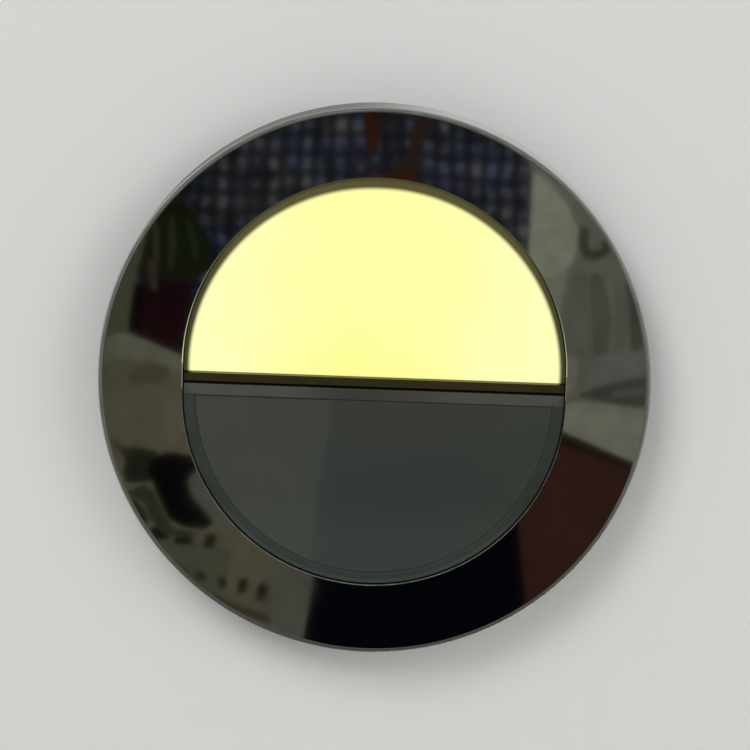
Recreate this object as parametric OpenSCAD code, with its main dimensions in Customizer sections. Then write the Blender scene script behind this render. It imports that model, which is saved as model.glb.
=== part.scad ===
// Round elevator hall lantern: a mirror-finish bezel with two half-moon lenses that twists onto a housing
// let into the wall. Every module below is drawn lying on its back: x to the right, y up the wall and
// z out of the wall towards the viewer. on_wall() then stands it up, with the wall's surface in the
// plane y = 0 and the lantern's axis through the origin.

/* [Bezel] */
// How far the bezel's face stands off the wall
bezel_proud = 11; // [10.6:0.1:13]
// Thickness of the bezel's face
bezel_face_t = 3; // [2.6:0.1:3.2]
// Thickness of the bezel's skirt
bezel_skirt_t = 3; // [2.6:0.1:3.2]
// Radius of the rounded outer edge
bezel_edge_r = 1.2; // [0.8:0.1:3.4]
// Gap between the end of the skirt and the wall
skirt_gap = 0.5; // [0.3:0.1:0.9]
// Broken edge round the lens opening
open_break = 0.2; // [0.2:0.1:0.7]
// Radius of the fillet between face and skirt
bezel_fillet_r = 1.2; // [0.6:0.1:1.4]

/* [Lenses] */
// Radius of each lens's arc
lens_r = 41.2; // [38:0.1:41.6]
// Height of an arc's centre above or below the middle of the lantern
arc_offset = 3.15; // [2.4:0.05:3.4]
// Distance between the straight edges of the two lenses
divider_gap = 2.8; // [2.4:0.1:3.6]
// How far a lens's face stands in front of the bezel's face
lens_proud = 0.4; // [0:0.1:1]
// Width of the bevel round a lens's face
lens_bevel_w = 2.2; // [1:0.1:3]
// Drop of that bevel
lens_bevel_drop = 0.9; // [0.4:0.1:1.4]
// Width of the fine groove inside that bevel
lens_groove_w = 0.5; // [0.3:0.1:0.8]
// Depth of that groove
lens_groove_depth = 0.25; // [0.1:0.05:0.35]
// Thickness of a lens's face
lens_skin = 2.6; // [2:0.1:3]
// Thickness of a lens's side walls
lens_wall = 2.3; // [1.8:0.1:2.8]
// Width of the flange that holds a lens behind the bezel
lens_flange_w = 2.2; // [1.6:0.1:2.8]
// Thickness of that flange
lens_flange_t = 1.8; // [1.4:0.1:2]
// Thickness of the seal between the flange and the bezel
seal_t = 0.6; // [0.4:0.1:0.8]
// Thickness of the divider blade
blade_t = 1.8; // [1.2:0.1:2.2]
// How far the blade's edge lies below the bezel's face
blade_recess = 1; // [0.5:0.1:3]

/* [Retainer] */
// Thickness of the retainer plate
retainer_t = 2; // [1.8:0.1:2.2]
// Depth of the groove that holds the divider blade
blade_groove = 1; // [0.6:0.1:1.4]
// Radius of an ear round a retainer screw
ear_r = 3.4; // [3.1:0.1:3.8]
// How far the retainer screws lie outside the plate's round edge
ear_out = 1.2; // [0.8:0.1:1.6]
// Radius of a boss under the bezel's face
boss_r = 3; // [2.6:0.1:3.2]

/* [Bayonet] */
// How far a lug reaches in from the skirt
lug_reach = 3.2; // [2.8:0.1:3.3]
// Height of a lug
lug_t = 1.8; // [1.4:0.1:2]
// Half of the angle that a lug takes up
lug_half_angle = 7; // [5:0.5:8]
// Drop of the lead-in at the end of a lug
lead_drop = 0.5; // [0.2:0.1:0.8]
// Slope of that lead-in
lead_slope = 10; // [6:1:15]
// Turn from locked to free
twist_angle = 20; // [19:0.5:22]
// Thickness of the ledge over a lug
ledge_t = 2; // [1.6:0.1:2.2]
// Thickness of the wall that carries a ledge
hook_wall_t = 2.6; // [2:0.1:2.8]
// Angle of the stop beside a lug
stop_angle = 4.6; // [3:0.1:5]
// Height of the locking screw's axis above the wall
lock_z = 5.6; // [5.5:0.05:5.8]
// Radius of the locking screw
lock_r = 2; // [1.5:0.1:2]
// Length of the locking screw
lock_length = 6; // [5:0.1:6.2]
// Width of the boss round the locking screw
lock_boss_w = 8; // [6:0.5:9]

/* [Housing] */
// Thickness of the wall flange
flange_t = 2.5; // [2.2:0.1:2.6]
// Thickness of the round body's wall
body_wall = 2; // [1.6:0.1:2.1]
// Depth of the round body behind the wall's surface
body_depth = 34; // [33:0.5:44]
// Width of the ledge that the light box rests on
rest_w = 1.35; // [1:0.05:1.5]
// Thickness of that ledge
rest_t = 2; // [1.5:0.1:3]
// Radius of a fixing hole
fixing_hole_r = 2.25; // [2:0.05:2.4]
// Radius of the countersink of a fixing hole
fixing_head_r = 3.8; // [3.5:0.1:3.9]
// Distance between the round body and a fixing hole's countersink
fixing_gap = 0.7; // [0.3:0.1:0.9]
// Width of the flange outside a countersink
flange_land = 0.9; // [0.7:0.1:3]
// Depth of the groove that holds the wall gasket
gasket_depth = 0.9; // [0.6:0.1:1.1]
// Width of that groove
gasket_w = 1.1; // [0.8:0.1:1.2]

/* [Light box] */
// How much smaller a reflector's mouth is than its lens
mouth_inset = 1.7; // [1.5:0.1:2.4]
// Radius of a reflector's rear opening
throat_r = 30; // [27:0.5:30.5]
// Thickness of the reflector's walls
reflector_wall = 1.2; // [1:0.1:1.3]
// Depth of the light box behind the wall's surface
reflector_depth = 13; // [11:0.5:14]
// Half thickness of the wall between the chambers at the mouth
septum_front = 1.3; // [1:0.1:1.8]
// Half thickness of that wall at the rear
septum_rear = 3.5; // [3:0.1:4.5]
// Thickness of the light box's rim
rim_t = 1.5; // [1.2:0.1:1.8]
// Radius of the four columns
column_r = 3; // [2.8:0.1:3.2]
// Gap between a column and the ledge that the rim rests on
column_gap = 0.55; // [0.3:0.05:0.8]

/* [Boards] */
// Thickness of the circuit boards
board_t = 1.6; // [1.2:0.1:2]
// How far an LED board reaches past the reflector's rear opening
led_board_edge = 6.4; // [5.4:0.1:6.8]
// Gap between the two LED boards
led_board_gap = 2; // [1:0.1:3]
// Length and width of an LED
led_size = 3.5; // [2.8:0.1:5]
// Height of an LED
led_h = 1.6; // [1:0.1:2.2]
// Distance between LEDs in a row
led_pitch = 10.5; // [8:0.1:11]
// Distance between rows of LEDs
led_row_pitch = 8.5; // [7:0.1:9]
// Height of the lowest row above the middle
led_row_start = 9; // [8:0.1:10]
// Gap between the driver board and the round body
driver_gap = 1; // [0.7:0.1:2]
// Distance across the flats of a standoff
standoff_af = 5; // [4.5:0.1:5]

/* [Components] */
// Number of pins in a pin strip
link_pins = 3; // [2:1:3]
// Distance between its pins
link_pitch = 2.54; // [2:0.02:2.6]
// Width of a pin strip
link_w = 2.5; // [2.2:0.1:3]
// Thickness of its pins
link_pin_t = 0.64; // [0.5:0.02:0.7]
// Room between the tallest component and what lies in front of it
component_gap = 1.7; // [1.2:0.1:4]
// Radius of a capacitor
cap_r = 4; // [3:0.1:4.4]
// Distance between the capacitors
cap_pitch = 9.5; // [9:0.1:11]
// Distance of the outer capacitor's axis from the driver board's edge
cap_inset = 12; // [10:0.5:14]
// Height of the capacitors above the middle
cap_y = 4; // [3:0.5:8]
// Radius of the inductor's flanges
inductor_r = 4; // [3:0.1:4.4]
// Height of the inductor
inductor_h = 6.5; // [5:0.1:8]
// Thickness of the inductor's flanges
inductor_flange_t = 1; // [0.6:0.1:1.4]
// Distance of the inductor's axis from the driver board's edge
inductor_inset = 18.5; // [16:0.5:20]
// How far the inductor lies below the capacitors
inductor_drop = 12; // [11:0.5:16]
// Length of the bridge rectifier
bridge_l = 8.4; // [6:0.1:9]
// Width of the bridge rectifier
bridge_w = 6.4; // [5:0.1:7]
// Height of the bridge rectifier
bridge_h = 3.2; // [2.6:0.1:4]
// Length of an optocoupler
opto_l = 4.6; // [4:0.1:5]
// Width of an optocoupler
opto_w = 6.4; // [6:0.1:6.6]
// Height of an optocoupler
opto_h = 3.4; // [3:0.1:4]
// Distance between optocouplers
opto_pitch = 7; // [6:0.1:8]
// Distance of the optocouplers' lower side from the driver board's edge
opto_inset = 9.5; // [8:0.5:10]
// Length of the control chip
chip_l = 10; // [8:0.1:11]
// Width of the control chip
chip_w = 4; // [3.6:0.1:5]
// Height of the control chip
chip_h = 1.5; // [1:0.1:2]
// Distance of the chip from the driver board's edge
chip_inset = 18.5; // [16:0.5:20]
// How far the chip lies below the middle
chip_drop = 10; // [9:0.5:12]
// Radius of the gong sounder
sounder_r = 11; // [8:0.1:11.6]
// Distance between the gong sounder and the driver board's edge
sounder_inset = 8.5; // [7:0.5:9]
// Height of the gong sounder above the middle
sounder_y = 10; // [9:0.5:11]
// Radius of its sound port
port_r = 1.5; // [1:0.1:2.5]

/* [Rear cover] */
// Thickness of the rear cover
cover_t = 2; // [1.6:0.1:3]
// Height of the cover's locating rim
cover_rim_h = 1.2; // [0.8:0.1:2]
// Height of the ribs and collars on the cover's back
cover_rib_h = 0.7; // [0.4:0.1:0.8]
// Width of those ribs and collars
cover_rib_w = 1.2; // [0.8:0.1:1.4]
// Radius of the posts that carry the driver board
post_r = 3; // [2.8:0.1:3.4]
// Height of those posts
post_h = 5.6; // [5.6:0.1:6.4]
// Width of a ventilation slot
vent_w = 2; // [1.2:0.1:2.6]
// Length of the longest ventilation slot
vent_length = 34; // [20:1:40]
// Distance between ventilation slots
vent_pitch = 4.4; // [4:0.1:5]
// Number of ventilation slots
vent_count = 4; // [2:1:4]

/* [Terminal] */
// Distance between the terminal's poles
pole_pitch = 5.08; // [4.8:0.01:5.5]
// Number of poles
poles = 5; // [2:1:5]
// Height of the header on the board
header_h = 8.4; // [7.6:0.1:9.6]
// Width of the header across the poles
header_w = 8.6; // [8:0.1:9.4]
// Wall of the header
header_wall = 0.8; // [0.6:0.1:1]
// Length of the plug's body outside the header
plug_h = 8.5; // [7:0.1:12]
// Width of the plug's body across the poles
plug_w = 11.4; // [10.8:0.1:12.4]
// How far the plug's nose reaches into the header
plug_reach = 7.3; // [6:0.1:7.6]
// Height of the terminal above the middle
terminal_y = -24; // [-26:0.5:-23]
// Width of the grooves between the plug's poles
pole_groove = 0.5; // [0.3:0.1:0.8]
// Thickness of a header pin
pin_t = 1; // [0.8:0.1:1.1]
// Radius of a clamp screw's head
clamp_head_r = 1.6; // [1.3:0.1:1.7]
// Height of a clamp screw
clamp_screw_h = 2.5; // [1.5:0.1:2.5]
// How deep a clamp screw's well is
clamp_well = 4; // [3.8:0.1:6]
// Width and height of a wire entry
wire_entry = 3.2; // [2.4:0.1:3.4]
// Depth of a wire entry
wire_entry_depth = 6; // [4:0.1:6.4]

/* [Switches] */
// Number of levers on the DIP switch
levers = 4; // [4:1:4]
// Distance between levers
lever_pitch = 2.54; // [2.3:0.02:2.7]
// Height of the DIP switch's body
dip_h = 5.3; // [4.8:0.1:5.4]
// Depth of the DIP switch's body along its levers
dip_d = 9.6; // [8:0.1:10]
// Width of a lever
lever_w = 1.2; // [0.9:0.1:1.4]
// Travel of a lever
lever_travel = 2; // [1.4:0.1:2.4]
// Length of a lever along its slot
lever_l = 1.4; // [1:0.1:1.8]
// Depth of a lever's slot
lever_seat = 1.6; // [1.2:0.1:2]
// How far a lever stands out of its body
lever_out = 0.8; // [0.5:0.1:1.2]
// Distance of the DIP switch from the middle
dip_x = -14; // [-16:0.5:-13]
// Height of the switches above the middle
switch_y = 21; // [20:0.5:23]
// Side of the trimmer's square body
trimmer_w = 9.5; // [8:0.1:10]
// Height of the trimmer's body
trimmer_h = 4.8; // [4:0.1:5]
// Radius of the trimmer's rotor
rotor_r = 2.6; // [2:0.1:3]
// Depth of the rotor's seat
rotor_depth = 1.5; // [1:0.1:2]
// Distance of the trimmer from the middle
trimmer_x = 14; // [12:0.5:16]

/* [Screws] */
// Radius of the small screws' thread
screw_r = 1.5; // [1.3:0.05:1.5]
// Radius of the small screws' head
screw_head_r = 2.75; // [2.5:0.05:2.8]
// Length of the retainer screws
retainer_screw_l = 5; // [4:0.1:5.2]
// Radius of the LED board screws' thread
led_screw_r = 1; // [0.8:0.05:1]
// How far the LED board screws reach into the light box
led_screw_l = 3; // [2.4:0.1:3.2]
// How deep the heads of the cover screws are sunk
head_sink = 1.2; // [0.8:0.1:1.4]
// How far the cover screws reach into the standoffs
cover_screw_bite = 4; // [3:0.1:5]

/* [Clearances] */
// Gap round a lens in the bezel's opening
lens_fit = 0.3; // [0.2:0.05:0.4]
// Running gap between the turning front and the housing
run_gap = 0.6; // [0.4:0.1:0.7]
// Gap above and below a lug
lug_gap = 0.3; // [0.2:0.05:0.4]
// Gap round parts that drop into a seat
seat_gap = 0.3; // [0.2:0.05:0.5]
// Gap round a screw in a clearance hole
hole_gap = 0.1; // [0.05:0.05:0.2]
// Gap round a thread in its pilot hole
thread_gap = 0.03; // [0.02:0.01:0.05]
// Gap between sliding small parts
slide_gap = 0.1; // [0.08:0.01:0.15]
// Gap round the trimmer's rotor
rotor_fit = 0.05; // [0.03:0.01:0.08]

/* [Hidden] */
$fn = 96;
eps = 0.01;

// Front body's heights and the lens's edges
face_in_z = bezel_proud - bezel_face_t;
open_r = lens_r + lens_fit;
lens_top_z = bezel_proud + lens_proud;
flange_top_z = face_in_z - seal_t;
flange_low_z = flange_top_z - lens_flange_t;
lens_flange_r = lens_r + lens_flange_w;
chord_y = divider_gap / 2;
retainer_low_z = flange_low_z - retainer_t;
window_r = lens_r - lens_wall;
window_y = chord_y + lens_wall;

// Housing, worked out from the reflector outwards
mouth_r = lens_r - mouth_inset;
mouth_reach = mouth_r + reflector_wall + arc_offset;
rest_in_r = mouth_reach + seat_gap;
body_in_r = rest_in_r + rest_w;
body_r = body_in_r + body_wall;
rim_low_z = flange_t - rim_t;
fixing_at = body_r + fixing_head_r + fixing_gap;
flange_r = fixing_at + fixing_head_r + flange_land;
fixing_angles = [30, 150, 270];
gasket_out_r = flange_r - 0.6;
mouth_top_z = retainer_low_z - 0.4;

// Bayonet and retainer, worked out from the flange outwards and back in
skirt_in_r = flange_r + seat_gap;
bezel_r = skirt_in_r + bezel_skirt_t;
lug_in_r = skirt_in_r - lug_reach;
hook_out_r = lug_in_r - run_gap;
hook_in_r = hook_out_r - hook_wall_t;
ledge_out_r = skirt_in_r - run_gap;
retainer_r = hook_in_r - run_gap;
ear_at = retainer_r + ear_out;
lug_low_z = flange_t + lug_gap;
ledge_low_z = lug_low_z + lug_t + lug_gap;
hook_angles = [90, 210, 330];
ear_angles = [for (a = hook_angles) each [a + 22, a + 76]];
angle_gap = 0.35;
stop_from = -lug_half_angle - angle_gap;
ledge_to = twist_angle - lug_half_angle - 3;
lock_angle = 270;
lock_pad_half_angle = 6;
lock_out_r = bezel_r - 0.5;
socket_af = 2;
socket_depth = 2.5;

// Stack behind the light box
column_angles = [45, 135, 225, 315];
column_at = rest_in_r - column_gap - column_r;
led_board_r = throat_r + led_board_edge;
driver_board_r = body_in_r - driver_gap;
led_board_back_z = -reflector_depth - board_t;
cover_front_z = -body_depth;
cover_back_z = cover_front_z - cover_t;
driver_back_z = cover_front_z + post_h;
driver_front_z = driver_back_z + board_t;
led_rows = [0, 1, 2];
led_screw_at = throat_r + led_screw_r + 2.5;
led_screw_angles = [22, 90, 158];
led_head_r = 1.9;
led_head_h = 1.3;
led_well = 0.4;
link_y = led_row_start + 1.5 * led_row_pitch;
cap_h = led_board_back_z - driver_front_z - component_gap;
sounder_h = cap_h - led_head_h;
sounder_x = driver_board_r - sounder_r - sounder_inset;

// Terminal and switches on the back of the driver board
terminal_l = poles * pole_pitch + 2 * header_wall + 1;
header_end_z = driver_back_z - header_h;
plug_nose_l = terminal_l - 2 * header_wall - 2 * slide_gap;
plug_nose_w = header_w - 2 * header_wall - 2 * slide_gap;
plug_shoulder_z = header_end_z - seat_gap;
plug_nose_z = plug_shoulder_z + plug_reach;
plug_end_z = plug_shoulder_z - plug_h;
dip_l = levers * lever_pitch + 1.6;
dip_top_z = driver_back_z - dip_h;
link_l = link_pins * link_pitch;
lever_slot = lever_w + 2 * slide_gap;
lever_run = lever_l + lever_travel + 2 * slide_gap;
trimmer_top_z = driver_back_z - trimmer_h;

function lever_x(i) = dip_x + (i - (levers - 1) / 2) * lever_pitch;
function pole_x(i) = (i - (poles - 1) / 2) * pole_pitch;
function row_y(row) = led_row_start + row * led_row_pitch;
function row_count(row) = 5 - row - (row > 1 ? 1 : 0);

// Stands a part that was drawn on its back up against the wall
module on_wall() {
    rotate([90, 0, 0]) children();
}

// A part of a ring between two radii, two heights and two angles
module sector(r0, r1, z0, z1, a0, a1) {
    rotate([0, 0, a0])
        rotate_extrude(angle = a1 - a0)
            translate([r0, z0]) square([r1 - r0, z1 - z0]);
}

// Its children at a radius and an angle round the lantern's axis
module around(r, a) {
    rotate([0, 0, a]) translate([r, 0, 0]) children();
}

// Its children for the upper lens, or turned over for the lower one
module on_side(upper) {
    mirror([0, upper ? 0 : 1, 0]) children();
}

// Outline of the opening: two discs and the strip between their centres
module obround_2d(r) {
    for (s = [-1, 1]) translate([0, s * arc_offset]) circle(r);
    square([2 * r, 2 * arc_offset], center = true);
}

// Outline of one half moon above a straight edge
module half_moon_2d(r, straight_y) {
    intersection() {
        translate([0, arc_offset]) circle(r);
        translate([-2 * r, straight_y]) square([4 * r, 2 * r]);
    }
}

// A bar along x whose section is drawn in the y-z plane
module bar_along_x(length) {
    rotate([90, 0, 90]) linear_extrude(length, center = true) children();
}

// A bar along y whose section is drawn in the x-z plane
module bar_along_y(length) {
    rotate([90, 0, 0]) linear_extrude(length, center = true) children();
}

// Countersunk screw with its head's flat face at z = 0, pointing up
module countersunk_screw(r, head_r, length) {
    difference() {
        union() {
            cylinder(r1 = head_r, r2 = r, h = head_r - r);
            cylinder(r = r, h = length);
        }
        cross_recess(head_r);
    }
}

// Cross recess cut into a screw head at z = 0
module cross_recess(head_r) {
    for (a = [0, 90])
        rotate([0, 0, a])
            translate([0, 0, 0.3]) cube([head_r * 1.1, head_r * 0.24, 1], center = true);
}

// Bezel: a cast and polished ring with skirt, screw bosses and bayonet lugs
module bezel_ring() {
    color("silver") on_wall() difference() {
        union() {
            bezel_shell();
            for (a = hook_angles) lug(a);
            for (a = ear_angles)
                around(ear_at, a)
                    translate([0, 0, flange_low_z])
                        cylinder(r = boss_r, h = face_in_z - flange_low_z + 0.5);
            lock_boss();
        }
        for (a = ear_angles)
            around(ear_at, a)
                translate([0, 0, flange_low_z - eps])
                    cylinder(r = screw_r + thread_gap, h = retainer_screw_l - retainer_t + 0.4);
        around(lug_in_r - 2, lock_angle)
            translate([0, 0, lock_z]) rotate([0, 90, 0]) cylinder(r = lock_r + thread_gap, h = 12);
    }
}

// One bayonet lug, with a lead-in on the end that goes under the ledge first
module lug(a) {
    difference() {
        sector(lug_in_r, skirt_in_r + 0.5, lug_low_z, lug_low_z + lug_t,
               a - lug_half_angle, a + lug_half_angle);
        rotate([0, 0, a - lug_half_angle])
            translate([lug_in_r - 1, 0, lug_low_z + lug_t - lead_drop])
                rotate([lead_slope, 0, 0]) translate([0, -3, 0]) cube([lug_reach + 3, 9, 3]);
    }
}

// Turned form of the bezel with the lens opening cut through it
module bezel_shell() {
    difference() {
        rotate_extrude() bezel_profile();
        translate([0, 0, face_in_z - 1]) linear_extrude(bezel_face_t + 2) obround_2d(open_r);
        opening_edge_break();
    }
}

// Section of the bezel from its axis outwards
module bezel_profile() {
    difference() {
        translate([0, skirt_gap]) square([bezel_r, bezel_proud - skirt_gap]);
        difference() {
            translate([-1, -1]) square([skirt_in_r + 1, face_in_z + 1]);
            translate([skirt_in_r - bezel_fillet_r, face_in_z - bezel_fillet_r])
                difference() {
                    square(bezel_fillet_r + 1);
                    circle(bezel_fillet_r);
                }
        }
        difference() {
            translate([bezel_r - bezel_edge_r, bezel_proud - bezel_edge_r]) square(bezel_edge_r + 1);
            translate([bezel_r - bezel_edge_r, bezel_proud - bezel_edge_r]) circle(bezel_edge_r);
        }
    }
}

// Broken edge round the opening: two cones and a wedge along each straight side
module opening_edge_break() {
    z = bezel_proud - open_break;
    for (s = [-1, 1])
        translate([0, s * arc_offset, z])
            cylinder(r1 = open_r, r2 = open_r + 2 * open_break, h = 2 * open_break);
    bar_along_y(2 * arc_offset)
        polygon([
            [-open_r, z],
            [open_r, z],
            [open_r + 2 * open_break, z + 2 * open_break],
            [-open_r - 2 * open_break, z + 2 * open_break]
        ]);
}

// Thick place inside the skirt that carries the locking screw
module lock_boss() {
    rotate([0, 0, lock_angle])
        translate([hook_out_r + 1, -lock_boss_w / 2, flange_t + run_gap])
            cube([skirt_in_r - hook_out_r - 0.5, lock_boss_w, face_in_z - flange_t - run_gap + 0.5]);
}

// Flat seal between the lens flanges and the bezel
module lens_seal() {
    color("dimgray") on_wall()
        translate([0, 0, flange_top_z])
            linear_extrude(seal_t)
                difference() {
                    obround_2d(lens_flange_r);
                    obround_2d(open_r);
                }
}

// One lens: a bevelled cap, hollow behind, with a flange round its arc
module lens(upper) {
    on_side(upper) difference() {
        intersection() {
            translate([0, arc_offset, 0]) rotate_extrude() lens_profile();
            bar_along_x(3 * lens_r) lens_chord_section();
        }
        translate([0, 0, flange_low_z - 1])
            linear_extrude(lens_top_z - lens_skin - flange_low_z + 1)
                half_moon_2d(window_r, window_y);
    }
}

// Section of a lens from its arc's centre outwards, with its bevel and groove
module lens_profile() {
    polygon([
        [0, flange_low_z],
        [lens_flange_r, flange_low_z],
        [lens_flange_r, flange_top_z],
        [lens_r, flange_top_z],
        [lens_r, lens_top_z - lens_bevel_drop],
        [lens_r - lens_bevel_w, lens_top_z],
        [lens_r - lens_bevel_w - lens_groove_w / 2, lens_top_z - lens_groove_depth],
        [lens_r - lens_bevel_w - lens_groove_w, lens_top_z],
        [0, lens_top_z]
    ]);
}

// Section across a lens's straight edge, with the same bevel and groove
module lens_chord_section() {
    far = 2 * lens_r;
    bevel_y = chord_y + lens_bevel_w;
    polygon([
        [chord_y, flange_low_z - 1],
        [far, flange_low_z - 1],
        [far, lens_top_z + 1],
        [bevel_y + lens_groove_w, lens_top_z + 1],
        [bevel_y + lens_groove_w, lens_top_z],
        [bevel_y + lens_groove_w / 2, lens_top_z - lens_groove_depth],
        [bevel_y, lens_top_z],
        [chord_y, lens_top_z - lens_bevel_drop]
    ]);
}

module upper_lens() {
    color("khaki") on_wall() lens(true);
}

module lower_lens() {
    color("slategray") on_wall() lens(false);
}

// Black blade that keeps the light of one lens out of the other
module divider_blade() {
    top_z = bezel_proud - blade_recess;
    low_z = flange_low_z - blade_groove;
    color("black") on_wall()
        translate([0, 0, low_z])
            linear_extrude(top_z - low_z)
                intersection() {
                    circle(lens_r);
                    square([2 * lens_r, blade_t], center = true);
                }
}

// Plate that clamps both lenses against the bezel
module lens_retainer() {
    color("darkslategray") on_wall() difference() {
        translate([0, 0, retainer_low_z])
            linear_extrude(retainer_t) {
                circle(retainer_r);
                for (a = ear_angles) around(ear_at, a) circle(ear_r);
            }
        for (upper = [true, false])
            on_side(upper)
                translate([0, 0, retainer_low_z - 1])
                    linear_extrude(retainer_t + 2) half_moon_2d(window_r, window_y);
        translate([0, 0, flange_low_z - blade_groove / 2 + eps])
            cube([2 * lens_r + 0.2, blade_t + 2 * thread_gap, blade_groove + 2 * eps], center = true);
        for (a = ear_angles)
            around(ear_at, a)
                translate([0, 0, retainer_low_z]) {
                    translate([0, 0, -eps]) cylinder(r = screw_r + hole_gap, h = retainer_t + 1);
                    translate([0, 0, -hole_gap])
                        cylinder(r1 = screw_head_r + 2 * hole_gap, r2 = screw_r,
                                 h = screw_head_r - screw_r + 2 * hole_gap);
                }
    }
}

module retainer_screws() {
    color("lightgray") on_wall()
        for (a = ear_angles)
            around(ear_at, a)
                translate([0, 0, retainer_low_z])
                    countersunk_screw(screw_r, screw_head_r, retainer_screw_l);
}

// Headless screw in the underside of the skirt, backed off its pad
module locking_screw() {
    color("lightgray") on_wall()
        around(lock_out_r - lock_length, lock_angle)
            translate([0, 0, lock_z])
                rotate([0, 90, 0])
                    difference() {
                        cylinder(r = lock_r, h = lock_length);
                        translate([0, 0, lock_length - socket_depth])
                            cylinder(r = socket_af / 2 / cos(30), h = socket_depth + 1, $fn = 6);
                    }
}

// Housing: wall flange, bayonet hooks and the round body in the wall
module housing() {
    color("gray") on_wall() difference() {
        union() {
            rotate_extrude() housing_profile();
            for (a = hook_angles) hook(a);
            sector(hook_in_r, hook_out_r, flange_t - 0.5, lock_z + lock_r,
                   lock_angle - lock_pad_half_angle, lock_angle + lock_pad_half_angle);
        }
        for (a = fixing_angles)
            around(fixing_at, a) {
                translate([0, 0, -1]) cylinder(r = fixing_hole_r, h = flange_t + 2);
                translate([0, 0, flange_t - fixing_head_r + fixing_hole_r])
                    cylinder(r1 = fixing_hole_r, r2 = fixing_head_r + 1,
                             h = fixing_head_r - fixing_hole_r + 1);
            }
    }
}

// Section of the housing's flange, body and light box rest
module housing_profile() {
    difference() {
        union() {
            translate([body_in_r, 0]) square([flange_r - body_in_r, flange_t]);
            translate([body_in_r, -body_depth]) square([body_wall, body_depth + 1]);
            translate([rest_in_r, rim_low_z - rest_t]) square([rest_w + 0.5, rest_t]);
        }
        translate([gasket_out_r - gasket_w, -1]) square([gasket_w, gasket_depth + 1]);
    }
}

// One bayonet hook: wall, ledge over the lug and end stop
module hook(a) {
    low_z = flange_t - 0.5;
    sector(hook_in_r, hook_out_r, low_z, ledge_low_z + ledge_t, a + stop_from - stop_angle, a + ledge_to);
    difference() {
        sector(hook_in_r, ledge_out_r, ledge_low_z, ledge_low_z + ledge_t,
               a + stop_from - stop_angle, a + ledge_to);
        rotate([0, 0, a + ledge_to])
            translate([hook_out_r + 0.2, 0, ledge_low_z + lead_drop])
                rotate([lead_slope, 0, 0]) translate([0, -6, -3]) cube([lug_reach + 1, 9, 3]);
    }
    sector(hook_in_r, ledge_out_r, low_z, ledge_low_z + ledge_t,
           a + stop_from - stop_angle, a + stop_from);
}

// Gasket ring in the groove at the back of the flange
module wall_gasket() {
    color("black") on_wall()
        rotate_extrude()
            translate([gasket_out_r - gasket_w + thread_gap, 0])
                square([gasket_w - 2 * thread_gap, gasket_depth]);
}

// Light box: two reflector chambers, a rim on the housing's rest, four ribbed columns
module light_box() {
    color("white") on_wall() difference() {
        union() {
            translate([0, 0, rim_low_z]) cylinder(r = body_in_r - seat_gap, h = rim_t);
            translate([0, 0, rim_low_z]) linear_extrude(mouth_top_z - rim_low_z)
                obround_2d(mouth_r + reflector_wall);
            for (upper = [true, false]) on_side(upper) reflector_outside();
            for (a = column_angles) {
                around(column_at, a)
                    translate([0, 0, -reflector_depth])
                        cylinder(r = column_r, h = rim_low_z + reflector_depth + 0.5);
                rotate([0, 0, a])
                    translate([throat_r, -reflector_wall / 2, 1 - reflector_depth])
                        cube([column_at - throat_r, reflector_wall, rim_low_z + reflector_depth - 0.5]);
            }
        }
        for (upper = [true, false])
            on_side(upper) {
                reflector_hollow();
                for (a = led_screw_angles)
                    led_screw_place(a)
                        translate([0, 0, -reflector_depth - 1])
                            cylinder(r = led_screw_r + thread_gap, h = led_screw_l + 1.2);
            }
        for (a = column_angles)
            around(column_at, a)
                translate([0, 0, -reflector_depth - 1]) cylinder(r = screw_r + thread_gap, h = 7.2);
    }
}

// Outside of one reflector: a cone round its arc, a septum and the screw bosses
module reflector_outside() {
    depth = rim_low_z + reflector_depth + 0.5;
    intersection() {
        translate([0, arc_offset, -reflector_depth])
            cylinder(r1 = throat_r + reflector_wall, r2 = mouth_r + reflector_wall,
                     h = mouth_top_z + reflector_depth);
        translate([-2 * lens_r, 0, -reflector_depth]) cube([4 * lens_r, 2 * lens_r, depth]);
    }
    for (a = led_screw_angles)
        led_screw_place(a)
            translate([0, 0, -reflector_depth]) cylinder(r = led_screw_r + 1.9, h = led_screw_l + 1.4);
}

// Hollow of one reflector, tapered on all sides
module reflector_hollow() {
    top_z = mouth_top_z + 1;
    slope = (mouth_r - throat_r) / (mouth_top_z + reflector_depth);
    lean = (septum_rear - septum_front) / (mouth_top_z + reflector_depth);
    far = 2 * lens_r;
    intersection() {
        translate([0, arc_offset, -reflector_depth - 1])
            cylinder(r1 = throat_r - slope, r2 = mouth_r + slope, h = top_z + reflector_depth + 1);
        bar_along_x(far * 2)
            polygon([
                [septum_rear + lean, -reflector_depth - 1],
                [far, -reflector_depth - 1],
                [far, top_z],
                [septum_front - lean, top_z]
            ]);
    }
}

// Place of an LED board screw, at an angle round the arc's centre
module led_screw_place(a) {
    translate([0, arc_offset, 0]) around(led_screw_at, a) children();
}

// One half-moon LED board
module led_board(upper) {
    on_side(upper) difference() {
        translate([0, 0, led_board_back_z])
            linear_extrude(board_t) half_moon_2d(led_board_r, led_board_gap / 2);
        for (a = led_screw_angles)
            led_screw_place(a)
                translate([0, 0, led_board_back_z - 1])
                    cylinder(r = led_screw_r + hole_gap, h = board_t + 2);
        for (a = column_angles)
            around(column_at, a)
                translate([0, 0, led_board_back_z - 1])
                    cylinder(r = column_r + seat_gap, h = board_t + 2);
        link_place()
            translate([0, 0, led_board_back_z - 1])
                cube([link_l - 1.2, 1.2, 2 * board_t + 4], center = true);
    }
}

module upper_led_board() {
    color("ivory") on_wall() led_board(true);
}

module lower_led_board() {
    color("ivory") on_wall() led_board(false);
}

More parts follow.
